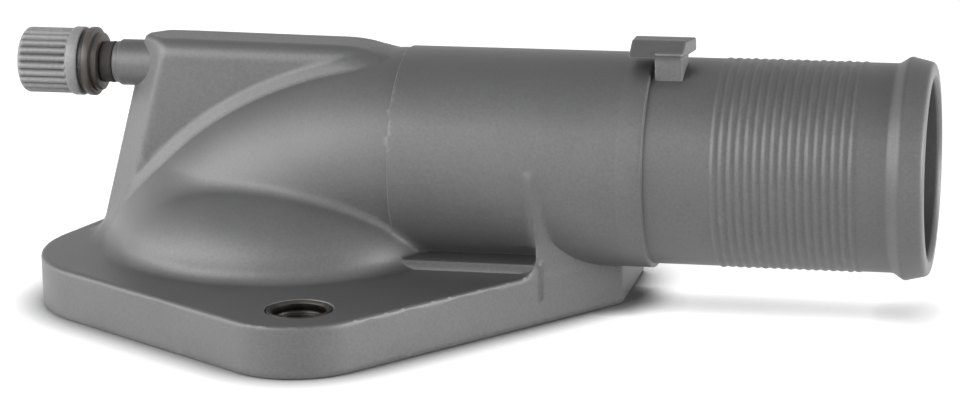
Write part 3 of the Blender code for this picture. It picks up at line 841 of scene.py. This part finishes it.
def moulded_nylon(colour, stain_colour, stain_start):
    """Unfilled nylon moulded in a polished tool: satin, paler, with a painted highlight on each rib.

    The grooves are darkened with painted shade, and from stain_start towards the boss dried coolant has
    turned the nylon brown. The polish leaves marks near 0.1 mm. They are drawn at 0.5 mm, because finer
    ones don't show.
    """
    mark_width = 0.5 * MM
    mark_depth = 0.03 * MM
    stain_edge = 0.3 * MM
    material, tree, shader = new_material("satin_moulded_nylon", {"IOR": 1.53, "Metallic": 0.0})
    place_in = add_node(tree, "ShaderNodeTexCoord")
    grain = add_node(
        tree, "ShaderNodeTexNoise", {"Scale": 1 / mark_width, "Detail": 2.0},
        {"Vector": (place_in, "Object")},
    )
    tone = add_node(tree, "ShaderNodeValToRGB", None, {"Fac": (grain, "Fac")})
    set_tones(tone, (0.3, [c * 0.88 for c in colour]), (0.7, [c * 1.1 for c in colour]))
    dull = add_node(
        tree, "ShaderNodeMapRange", {"From Min": 0.3, "From Max": 0.7, "To Min": 0.38, "To Max": 0.5},
        {"Value": (grain, "Fac")},
    )
    bump = add_node(
        tree, "ShaderNodeBump", {"Strength": 0.2, "Distance": mark_depth}, {"Height": (grain, "Fac")},
    )
    split = add_node(tree, "ShaderNodeSeparateXYZ", None, {"Vector": (place_in, "Object")})
    stained = add_node(
        tree, "ShaderNodeMapRange", {"From Min": stain_start, "From Max": stain_start + stain_edge},
        {"Value": (split, "X")},
    )
    clean = add_node(
        tree, "ShaderNodeMixRGB", {"Color2": (*stain_colour, 1.0)},
        {"Fac": (stained, "Result"), "Color1": (tone, "Color")},
    )
    # Painted shade darkens the grooves to 0.18 of their colour, and a painted highlight pales the ribs'
    # crests
    surface_geometry = add_node(tree, "ShaderNodeNewGeometry")
    groove_shade_and_rib_highlight = add_node(
        tree, "ShaderNodeMapRange", {"From Min": 0.44, "From Max": 0.52, "To Min": 0.18, "To Max": 1.08},
        {"Value": (surface_geometry, "Pointiness")},
    )
    final = add_node(
        tree, "ShaderNodeVectorMath", None,
        {0: (clean, "Color"), 1: (groove_shade_and_rib_highlight, "Result")}, operation="MULTIPLY",
    )
    tree.links.new(final.outputs["Vector"], shader.inputs["Base Color"])
    tree.links.new(dull.outputs["Result"], shader.inputs["Roughness"])
    tree.links.new(bump.outputs["Normal"], shader.inputs["Normal"])
    return material


def plated_steel(colour):
    """Steel tube, turned, zinc plated and dulled: a dark metal rim with soft glints and faint tool marks.

    The tool's feed is near 0.1 mm. Its marks are drawn some 0.4 mm apart, because finer ones don't show.
    """
    wave_scale = 1.2 * MM
    spot_width = 2.0 * MM
    mark_depth = 0.02 * MM
    material, tree, shader = new_material("zinc_plated_turned_steel", {"Metallic": 1.0})
    place_in = add_node(tree, "ShaderNodeTexCoord")
    marks = add_node(
        tree, "ShaderNodeTexWave", {"Scale": 1 / wave_scale, "Distortion": 0.6, "Detail": 2.0},
        {"Vector": (place_in, "Object")}, wave_type="BANDS", bands_direction="Z",
    )
    spots = add_node(
        tree, "ShaderNodeTexNoise", {"Scale": 1 / spot_width, "Detail": 4.0},
        {"Vector": (place_in, "Object")},
    )
    tone = add_node(tree, "ShaderNodeValToRGB", None, {"Fac": (spots, "Fac")})
    set_tones(tone, (0.3, [c * 0.7 for c in colour]), (0.65, colour))
    dull = add_node(
        tree, "ShaderNodeMapRange", {"To Min": 0.30, "To Max": 0.48}, {"Value": (spots, "Fac")},
    )
    bump = add_node(
        tree, "ShaderNodeBump", {"Strength": 0.3, "Distance": mark_depth}, {"Height": (marks, "Fac")},
    )
    tree.links.new(tone.outputs["Color"], shader.inputs["Base Color"])
    tree.links.new(dull.outputs["Result"], shader.inputs["Roughness"])
    tree.links.new(bump.outputs["Normal"], shader.inputs["Normal"])
    return material


def moulded_rubber(name, colour):
    """Moulded rubber: matt and nearly black, with a dusty bloom in patches some 1.6 mm wide."""
    patch_width = 1.6 * MM
    patch_depth = 0.04 * MM
    material, tree, shader = new_material(name, {"IOR": 1.52, "Metallic": 0.0})
    place_in = add_node(tree, "ShaderNodeTexCoord")
    bloom = add_node(
        tree, "ShaderNodeTexNoise", {"Scale": 1 / patch_width, "Detail": 5.0, "Roughness": 0.7},
        {"Vector": (place_in, "Object")},
    )
    tone = add_node(tree, "ShaderNodeValToRGB", None, {"Fac": (bloom, "Fac")})
    set_tones(tone, (0.35, [c * 0.75 for c in colour]), (0.7, [c * 1.4 for c in colour]))
    dull = add_node(
        tree, "ShaderNodeMapRange", {"From Min": 0.3, "From Max": 0.7, "To Min": 0.7, "To Max": 0.86},
        {"Value": (bloom, "Fac")},
    )
    bump = add_node(
        tree, "ShaderNodeBump", {"Strength": 0.25, "Distance": patch_depth}, {"Height": (bloom, "Fac")},
    )
    tree.links.new(tone.outputs["Color"], shader.inputs["Base Color"])
    tree.links.new(dull.outputs["Result"], shader.inputs["Roughness"])
    tree.links.new(bump.outputs["Normal"], shader.inputs["Normal"])
    return material


# Shapes of the pieces


def make_casting(sizes, cell):
    """Mesh of the moulding up to the neck.

    The grid starts a whole number of cells before the neck, so that its step falls on grid points,
    and a share of a cell off the flange's top, so that the flat face falls between them.
    """
    left = 47.0 * MM
    side = 50.6 * MM
    below = 1.3 * MM
    off_the_face = 0.37 * cell
    low = np.array([
        NECK_START - round((NECK_START + left) / cell) * cell,
        -side,
        sizes.flange_height - round((sizes.flange_height + below) / cell) * cell + off_the_face,
    ])
    high = np.array([58.5, 50.6, 42.2]) * MM

    def field(x, y, z):
        return casting_distance(x, y, z, sizes)

    points, quads = contour(field, low, high, cell)
    casting = mesh_object("thermostat_housing", points, quads)
    bm = bmesh.new()
    bm.from_mesh(casting.data)
    flat_angle = math.radians(0.15)
    bmesh.ops.dissolve_limit(bm, angle_limit=flat_angle, verts=bm.verts, edges=bm.edges)
    bmesh.ops.triangulate(bm, faces=[face for face in bm.faces if len(face.verts) > 4])
    bm.to_mesh(casting.data)
    bm.free()
    return casting


def spigot_profile(spigot, neck_radius):
    """Outside of the spigot as (x, radius), from inside the neck to the rounded mouth."""
    overlap = 0.01 * MM
    wall_spacing = 1.5 * MM
    bead_start = 96.0 * MM
    mouth_radius = 15.0 * MM
    neck = neck_radius + overlap
    step = spigot.step
    profile = [
        (LATHE_START, neck), (step - 0.6 * MM, neck), (step - 0.15 * MM, neck),
        (step - 0.05 * MM, neck - 0.05 * MM), (step, neck - 0.15 * MM),
        (step + 0.04 * MM, spigot.radius + 0.08 * MM), (step + 0.12 * MM, spigot.radius),
        (step + 0.3 * MM, spigot.radius), (step + 0.6 * MM, spigot.radius),
    ]
    x = step + wall_spacing
    while x < spigot.ridge_start - 1.0 * MM:
        profile.append((x, spigot.radius))
        x += wall_spacing
    for i in range(spigot.ridge_count):
        for place_share, rise_share in RIDGE_SHAPE:
            x = spigot.ridge_start + (i + place_share) * spigot.ridge_pitch
            profile.append((x, spigot.radius + rise_share * spigot.ridge_height))
    x = spigot.ridge_start + spigot.ridge_count * spigot.ridge_pitch
    while x < bead_start:
        profile.append((x, spigot.radius))
        x += wall_spacing
    profile += in_metres(BEAD_OUTLINE)
    profile.append((HOUSING_END - overlap, mouth_radius))
    return profile


def broken_ridges(spigot):
    """Makes the grip ridges fade at the mould's parting lines and vary a little on their way round."""
    margin = 0.1 * MM
    end = spigot.ridge_start + spigot.ridge_count * spigot.ridge_pitch

    def reach(along, turn, radius):
        on_ridges = (along > spigot.ridge_start - margin) & (along < end + margin)
        row = np.floor((along - spigot.ridge_start) / spigot.ridge_pitch)
        fade = 0.35 + 0.65 * np.abs(np.cos(turn)) ** 0.7
        ripple = 0.16 * np.sin(9 * turn + 2.4 * row) + 0.12 * np.sin(23 * turn + 4.1 * row + 1.0)
        share = np.clip(fade + ripple, 0.15, 1.1)
        return np.where(on_ridges, spigot.radius + (radius - spigot.radius) * share, radius)

    return reach


def make_spigot(spigot, neck_radius):
    """Solid rod with the spigot's outside."""
    profile = spigot_profile(spigot, neck_radius)
    rod = lathe("spigot", profile, spigot.segments, broken_ridges(spigot))
    lift(rod, PIPE_AXIS_HEIGHT)
    return rod


def bevelled_block(name, rings, edge):
    """A bevelled solid through two rings of points, given in millimetres."""
    bm = bmesh.new()
    rows = [[bm.verts.new(Vector(point) * MM) for point in ring] for ring in rings]
    count = len(rows[0])
    for i in range(count):
        j = (i + 1) % count
        bm.faces.new((rows[0][i], rows[0][j], rows[1][j], rows[1][i]))
    bm.faces.new(list(reversed(rows[0])))
    bm.faces.new(rows[1])
    bmesh.ops.recalc_face_normals(bm, faces=bm.faces)
    bmesh.ops.bevel(bm, geom=list(bm.edges), offset=edge, segments=3, profile=0.5, affect="EDGES")
    mesh = bpy.data.meshes.new(name)
    bm.to_mesh(mesh)
    bm.free()
    item = bpy.data.objects.new(name, mesh)
    bpy.context.scene.collection.objects.link(item)
    return item


def make_lug():
    """Stem and leaning head of the lug on the neck's crown."""
    stem = bevelled_block("lug_stem", [
        [(60.6, -7.4, 33.0), (64.9, -7.4, 33.0), (64.9, -1.3, 33.0), (60.6, -1.3, 33.0)],
        [(60.6, -7.4, 41.4), (64.9, -7.4, 41.4), (64.9, -1.3, 41.4), (60.6, -1.3, 41.4)],
    ], 0.35 * MM)
    head = bevelled_block("lug_head", [
        [(56.62, -7.98, 40.62), (64.9, -7.98, 40.62), (66.08, -1.02, 40.62), (56.62, -1.02, 40.62)],
        [(56.62, -4.5, 42.68), (64.9, -4.5, 42.68), (66.08, -1.02, 42.68), (56.62, -1.02, 42.68)],
    ], 0.3 * MM)
    combine(stem, [head], "UNION")
    return stem


def make_boss():
    """Bleed boss with its narrower nose."""
    boss = lathe("bleed_boss", in_metres(BOSS_OUTLINE), 96)
    lift(boss, BLEED_AXIS_HEIGHT)
    return boss


def make_bores(spigot):
    """Everything that is cut out sharply: spigot bore, bolt holes, seal groove and bleed bore."""
    mouth = [
        (NECK_START - 0.8 * MM, spigot.bore_radius), (HOUSING_END - 0.9 * MM, spigot.bore_radius),
        (HOUSING_END - 0.35 * MM, spigot.bore_radius + 0.2 * MM),
        (HOUSING_END, spigot.bore_radius + 0.6 * MM),
        (HOUSING_END + 1.0 * MM, spigot.bore_radius + 1.8 * MM),
    ]
    way = lathe("spigot_bore", mouth, 192)
    lift(way, PIPE_AXIS_HEIGHT)
    tools = [way]
    for name in SLEEVES:
        low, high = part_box(name)
        middle = (low + high) / 2
        hole = lathe("cut_" + name, in_metres(BOLT_HOLE_OUTLINE), 96)
        place(hole, Matrix.Translation((middle.x, middle.y, 0.0)) @ UPRIGHT)
        tools.append(hole)
    groove = lathe("cut_seal_groove", in_metres(SEAL_GROOVE_OUTLINE), 192, closed=True)
    place(groove, UPRIGHT)
    bleed = lathe("cut_bleed_bore", in_metres(BLEED_BORE_OUTLINE), 72)
    lift(bleed, BLEED_AXIS_HEIGHT)
    return tools + [groove, bleed]


def make_sleeve(name, colour):
    """Turned steel tube with chamfered ends and a fine groove inside each end."""
    low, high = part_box(name)
    middle = (low + high) / 2
    height = high.z - low.z
    outer, bore, chamfer = 4.94 * MM, 4.1 * MM, 0.35 * MM
    top = height - 0.01 * MM
    section = [
        (0.0, bore + chamfer), (0.0, outer - 0.15 * MM), (0.15 * MM, outer), (top - 0.15 * MM, outer),
        (top, outer - 0.15 * MM), (top, bore + chamfer), (top - 0.1 * MM, bore + 0.6 * chamfer),
        (top - chamfer, bore), (top - 1.2 * MM, bore), (top - 1.3 * MM, bore + 0.05 * MM),
        (top - 1.5 * MM, bore + 0.05 * MM), (top - 1.6 * MM, bore), (1.6 * MM, bore),
        (1.5 * MM, bore + 0.05 * MM), (1.3 * MM, bore + 0.05 * MM), (1.2 * MM, bore), (chamfer, bore),
    ]
    sleeve = lathe("steel_" + name, section, 96, closed=True)
    place(sleeve, Matrix.Translation((middle.x, middle.y, low.z)) @ UPRIGHT)
    sleeve.data.materials.append(plated_steel(colour))
    return sleeve


def make_flange_seal(colour):
    """Rubber ring with two sealing lips on its face and small side beads that grip the groove."""
    inner, outer = 27.5, 30.5
    low, high = 0.3, 2.6
    section = [
        (low + 0.45, inner), (low + 0.25, inner + 0.1), (low + 0.05, inner + 0.45), (low, inner + 0.75),
        (low + 0.05, inner + 1.05), (low + 0.4, inner + 1.35), (low + 0.4, outer - 1.35),
        (low + 0.05, outer - 1.05), (low, outer - 0.75), (low + 0.05, outer - 0.45),
        (low + 0.25, outer - 0.1), (low + 0.45, outer),
        (1.2, outer), (1.35, outer + 0.2), (1.6, outer + 0.2), (1.75, outer), (high - 0.25, outer),
        (high, outer - 0.25), (high, inner + 0.25), (high - 0.25, inner),
        (1.75, inner), (1.6, inner - 0.2), (1.35, inner - 0.2), (1.2, inner),
    ]
    seal = lathe("rubber_flange_seal", in_metres(section), 192, closed=True)
    place(seal, UPRIGHT)
    seal.data.materials.append(moulded_rubber("moulded_seal_rubber", colour))
    return seal


def knurl(screw):
    """Radius of the cap: rounded ribs that fade out at both ends of the knurl."""
    start = SCREW_LOW.x + 0.9 * MM
    start_fade = 0.7 * MM
    end_fade = 0.35 * MM

    def reach(along, turn, radius):
        wave = 0.5 - 0.5 * np.cos(screw.rib_count * turn)
        ribs = 1.0 - wave ** 1.6
        last = ramp(along, KNURL_END - end_fade, KNURL_END)
        strength = ramp(along, start - start_fade, start) * (1.0 - last)
        return radius - screw.rib_depth * (1.0 - ribs) * strength

    return reach


def make_screw(screw, colour, stain_colour):
    """Knurled cap, two rings with a groove, collar, threaded shank and cone."""
    left = SCREW_LOW.x + 0.02 * MM
    cap = screw.cap_radius
    collar = 4.6 * MM
    root = 2.05 * MM
    thread_end = -22.05 * MM
    wall_spacing = 0.4 * MM
    profile = [
        (left, 3.6 * MM), (left, 4.2 * MM), (left + 0.05 * MM, 4.45 * MM),
        (left + 0.18 * MM, cap - 0.5 * MM), (left + 0.35 * MM, cap - 0.27 * MM),
        (left + 0.6 * MM, cap - 0.08 * MM), (left + 0.85 * MM, cap),
    ]
    x = left + 1.1 * MM
    while x < KNURL_END - wall_spacing:
        profile.append((x, cap))
        x += wall_spacing
    profile += in_metres(CAP_SHOULDER, cap) + in_metres(SCREW_RINGS, screw.ring_radius)
    profile += in_metres(SCREW_COLLAR, collar)
    profile.append((-29.5 * MM, 2.6 * MM))
    x = THREAD_START
    while x < thread_end:
        profile.append((x, root))
        x += screw.thread_pitch / 10
    profile += [(-21.95 * MM, root - 0.05 * MM), (-21.8 * MM, root - 0.2 * MM)]
    profile += [(-21.0 * MM, 1.25 * MM), (-20.85 * MM, 1.0 * MM)]
    shape_cap = knurl(screw)
    rise = screw.thread_radius - root
    margin = 0.05 * MM

    def reach(along, turn, radius):
        capped = shape_cap(along, turn, radius)
        phase = ((along - THREAD_START) / screw.thread_pitch - turn / (2 * math.pi)) % 1.0
        crest = np.clip(1.6 - 4.4 * np.abs(phase - 0.5), 0.0, 1.0)
        crest = crest * ramp(along, -28.0 * MM, -27.4 * MM) * (1.0 - ramp(along, -22.9 * MM, -22.3 * MM))
        threaded = (along > THREAD_START - margin) & (along < thread_end + margin)
        return np.where(threaded, radius + rise * crest, capped)

    item = lathe("bleed_screw_moulding", profile, screw.segments, reach)
    lift(item, BLEED_AXIS_HEIGHT)
    item.data.materials.append(moulded_nylon(colour, stain_colour, STAIN_START))
    return item


def make_bleed_ring(colour):
    """Rubber ring squeezed between the screw's collar and the boss."""
    ring = lathe("rubber_bleed_ring", in_metres(BLEED_RING_OUTLINE), 96, closed=True)
    lift(ring, BLEED_AXIS_HEIGHT)
    ring.data.materials.append(moulded_rubber("bleed_ring_rubber", colour))
    return ring


# Operators


class HOUSING_OT_casting(bpy.types.Operator):
    """Build the one-piece moulded housing and hide its solid"""

    bl_idname = "housing.casting"
    bl_label = "Moulded housing"

    def execute(self, context):
        scene = context.scene
        sizes = scene.housing_sizes
        cell = sizes.cell
        body = make_casting(sizes, cell)
        check_closed(body)
        spigot = scene.spigot_sizes
        combine(body, [make_spigot(spigot, sizes.neck_radius), make_lug(), make_boss()], "UNION")
        combine(body, make_bores(spigot), "DIFFERENCE")
        check_closed(body)
        shade(body, 38, True)
        body.data.materials.clear()
        body.data.materials.append(spark_eroded_nylon(scene.finish_colours.housing_nylon))
        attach(body, "housing")
        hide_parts("housing_body")
        return {"FINISHED"}


class HOUSING_OT_sleeves(bpy.types.Operator):
    """Build the two steel sleeves that line the bolt holes"""

    bl_idname = "housing.sleeves"
    bl_label = "Bolt sleeves"

    def execute(self, context):
        for name in SLEEVES:
            sleeve = make_sleeve(name, context.scene.finish_colours.sleeve_steel)
            check_closed(sleeve)
            shade(sleeve, 30)
            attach(sleeve, "housing")
            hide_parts(name)
        return {"FINISHED"}


class HOUSING_OT_flange_seal(bpy.types.Operator):
    """Build the rubber ring under the flange"""

    bl_idname = "housing.flange_seal"
    bl_label = "Flange seal"

    def execute(self, context):
        seal = make_flange_seal(context.scene.finish_colours.seal_rubber)
        check_closed(seal)
        shade(seal, 50)
        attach(seal, "housing")
        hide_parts("flange_seal")
        return {"FINISHED"}


class HOUSING_OT_bleed_screw(bpy.types.Operator):
    """Build the knurled bleed screw with its thread"""

    bl_idname = "housing.bleed_screw"
    bl_label = "Bleed screw"

    def execute(self, context):
        scene = context.scene
        colours = scene.finish_colours
        screw = make_screw(scene.screw_sizes, colours.screw_nylon, colours.dried_coolant)
        check_closed(screw)
        shade(screw, 38)
        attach(screw, "bleed_screw")
        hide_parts("bleed_screw")
        return {"FINISHED"}


class HOUSING_OT_bleed_ring(bpy.types.Operator):
    """Build the rubber ring behind the bleed screw's collar"""

    bl_idname = "housing.bleed_ring"
    bl_label = "Bleed ring"

    def execute(self, context):
        ring = make_bleed_ring(context.scene.finish_colours.ring_rubber)
        check_closed(ring)
        shade(ring, 50)
        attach(ring, "bleed_travel")
        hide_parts("bleed_seal")
        return {"FINISHED"}


def direction_of(azimuth, elevation):
    """Unit vector at an azimuth from the front, right being positive, and an elevation, in degrees."""
    a, e = math.radians(azimuth), math.radians(elevation)
    return Vector((math.sin(a) * math.cos(e), -math.cos(a) * math.cos(e), math.sin(e)))


def add_area_light(name, direction, distance, power):
    """A white area light that looks at the part from a direction."""
    lamp = bpy.data.lights.new(name, "AREA")
    lamp.shape = "RECTANGLE"
    lamp.size, lamp.size_y = LAMP_SIZE
    lamp.energy = power
    item = bpy.data.objects.new(name, lamp)
    item.location = LAMP_AIM + distance * direction
    item.rotation_euler = (LAMP_AIM - item.location).to_track_quat("-Z", "Y").to_euler()
    bpy.context.scene.collection.objects.link(item)


def seen_directly(tree):
    """1 for camera, glossy and transmission rays, which see the white background."""
    path = add_node(tree, "ShaderNodeLightPath")
    first = add_node(
        tree, "ShaderNodeMath", None,
        {0: (path, "Is Camera Ray"), 1: (path, "Is Glossy Ray")}, operation="MAXIMUM",
    )
    return add_node(
        tree, "ShaderNodeMath", None,
        {0: (first, "Value"), 1: (path, "Is Transmission Ray")}, operation="MAXIMUM",
    )


def make_floor(half):
    """Pale paper floor that keeps a soft shadow where the part stands on it.

    It throws its full light up on the part. Seen directly it glows at strength 1, which is
    white, and the glow dies away under and close to the part, where the darker paper shows.
    """
    below = -0.1 * MM
    shadow_reach = 8.0 * MM
    corners = [(-half, -half, below), (half, -half, below), (half, half, below), (-half, half, below)]
    floor = mesh_object("studio_floor", corners, [(0, 1, 2, 3)])
    material = bpy.data.materials.new("matt_paper_floor")
    material.use_nodes = True
    tree = material.node_tree
    tree.nodes.clear()
    seen = seen_directly(tree)
    whiteness = add_node(
        tree, "ShaderNodeMapRange", {"To Min": 0.9, "To Max": 0.35}, {"Value": (seen, "Value")},
    )
    paper = add_node(tree, "ShaderNodeBsdfDiffuse", None, {"Color": (whiteness, "Result")})
    openness = add_node(tree, "ShaderNodeAmbientOcclusion", {"Distance": shadow_reach}, samples=16)
    strength = add_node(
        tree, "ShaderNodeMapRange", {"From Min": 0.5, "From Max": 0.98}, {"Value": (openness, "AO")},
    )
    glow = add_node(tree, "ShaderNodeEmission", {"Color": WHITE}, {"Strength": (strength, "Result")})
    dark = add_node(tree, "ShaderNodeEmission", {"Strength": 0.0})
    veil = add_node(
        tree, "ShaderNodeMixShader", None,
        {"Fac": (seen, "Value"), 1: (dark, "Emission"), 2: (glow, "Emission")},
    )
    both = add_node(tree, "ShaderNodeAddShader", None, {0: (paper, "BSDF"), 1: (veil, "Shader")})
    add_node(tree, "ShaderNodeOutputMaterial", None, {"Surface": (both, "Shader")})
    floor.data.materials.append(material)


def make_sky(scene, strength):
    """Faint even light, dimmer from above, and white behind everything that is seen directly."""
    world = bpy.data.worlds.new("studio_sky")
    scene.world = world
    world.use_nodes = True
    tree = world.node_tree
    tree.nodes.clear()
    direction = add_node(tree, "ShaderNodeTexCoord")
    split = add_node(tree, "ShaderNodeSeparateXYZ", None, {"Vector": (direction, "Generated")})
    dim_above = add_node(
        tree, "ShaderNodeMapRange", {"From Min": 0.15, "From Max": 0.75, "To Min": 1.0, "To Max": 0.3},
        {"Value": (split, "Z")},
    )
    level = add_node(
        tree, "ShaderNodeMath", {1: strength}, {0: (dim_above, "Result")}, operation="MULTIPLY",
    )
    even = add_node(tree, "ShaderNodeBackground", {"Color": WHITE}, {"Strength": (level, "Value")})
    white_sky = add_node(tree, "ShaderNodeBackground", {"Color": WHITE, "Strength": 1.0})
    seen = seen_directly(tree)
    mixed = add_node(
        tree, "ShaderNodeMixShader", None,
        {"Fac": (seen, "Value"), 1: (even, "Background"), 2: (white_sky, "Background")},
    )
    add_node(tree, "ShaderNodeOutputWorld", None, {"Surface": (mixed, "Shader")})


def make_camera(scene):
    """Camera at the photograph's viewing angle."""
    lens = bpy.data.cameras.new("camera")
    lens.sensor_width = SENSOR_WIDTH
    lens.lens = FOCAL_LENGTH_IN_PIXELS * SENSOR_WIDTH / PHOTO_WIDTH
    lens.clip_start = 0.01
    azimuth = math.radians(CAMERA_AZIMUTH)
    roll = math.radians(CAMERA_ROLL)
    back = direction_of(CAMERA_AZIMUTH, CAMERA_ELEVATION)
    right = Vector((math.cos(azimuth), math.sin(azimuth), 0.0))
    up = back.cross(right)
    rolled_right = math.cos(roll) * right + math.sin(roll) * up
    rolled_up = math.cos(roll) * up - math.sin(roll) * right
    matrix = Matrix((rolled_right, rolled_up, back)).transposed().to_4x4()
    matrix.translation = CAMERA_PLACE
    camera = bpy.data.objects.new("camera", lens)
    camera.matrix_world = matrix
    scene.collection.objects.link(camera)
    scene.camera = camera


class HOUSING_OT_stage(bpy.types.Operator):
    """Build the pale floor, the soft studio light and the camera"""

    bl_idname = "housing.stage"
    bl_label = "Stage"

    def execute(self, context):
        scene = context.scene
        settings = scene.stage_settings
        make_floor(settings.floor_half)
        make_sky(scene, settings.sky_strength)
        lamps = (
            ("key", -46, 30, 0.42, settings.key_power),
            ("left", -80, 6, 0.65, settings.left_power),
            ("front", -20, 6, 0.65, settings.front_power),
            ("right", 87, 6, 0.65, settings.right_power),
        )
        for name, azimuth, elevation, distance, power in lamps:
            add_area_light(name, direction_of(azimuth, elevation), distance, power)
        make_camera(scene)
        scene.view_settings.view_transform = "Standard"
        return {"FINISHED"}


class HOUSING_PT_panel(bpy.types.Panel):
    """Sizes, colours and build buttons of the housing"""

    bl_idname = "HOUSING_PT_panel"
    bl_label = "Thermostat Housing"
    bl_space_type = "VIEW_3D"
    bl_region_type = "UI"
    bl_category = "Housing"

    def draw(self, context):
        layout = self.layout
        scene = context.scene
        for title, group in (
            ("Housing", scene.housing_sizes),
            ("Spigot", scene.spigot_sizes),
            ("Bleed screw", scene.screw_sizes),
            ("Colours", scene.finish_colours),
            ("Stage", scene.stage_settings),
        ):
            box = layout.box()
            box.label(text=title)
            for name in group.__annotations__:
                box.prop(group, name)
        for operator in OPERATORS:
            layout.operator(operator.bl_idname)


GROUPS = {
    "housing_sizes": HousingSizes,
    "spigot_sizes": SpigotSizes,
    "screw_sizes": ScrewSizes,
    "finish_colours": FinishColours,
    "stage_settings": StageSettings,
}
OPERATORS = (
    HOUSING_OT_casting,
    HOUSING_OT_sleeves,
    HOUSING_OT_flange_seal,
    HOUSING_OT_bleed_screw,
    HOUSING_OT_bleed_ring,
    HOUSING_OT_stage,
)


def register():
    for group in GROUPS.values():
        bpy.utils.register_class(group)
    for operator in OPERATORS:
        bpy.utils.register_class(operator)
    bpy.utils.register_class(HOUSING_PT_panel)
    for name, group in GROUPS.items():
        setattr(bpy.types.Scene, name, PointerProperty(type=group))


def unregister():
    for name in GROUPS:
        delattr(bpy.types.Scene, name)
    bpy.utils.unregister_class(HOUSING_PT_panel)
    for operator in reversed(OPERATORS):
        bpy.utils.unregister_class(operator)
    for group in reversed(list(GROUPS.values())):
        bpy.utils.unregister_class(group)


def main():
    register()
    bpy.ops.housing.casting()
    bpy.ops.housing.sleeves()
    bpy.ops.housing.flange_seal()
    bpy.ops.housing.bleed_screw()
    bpy.ops.housing.bleed_ring()
    bpy.ops.housing.stage()


if __name__ == "__main__":
    main()
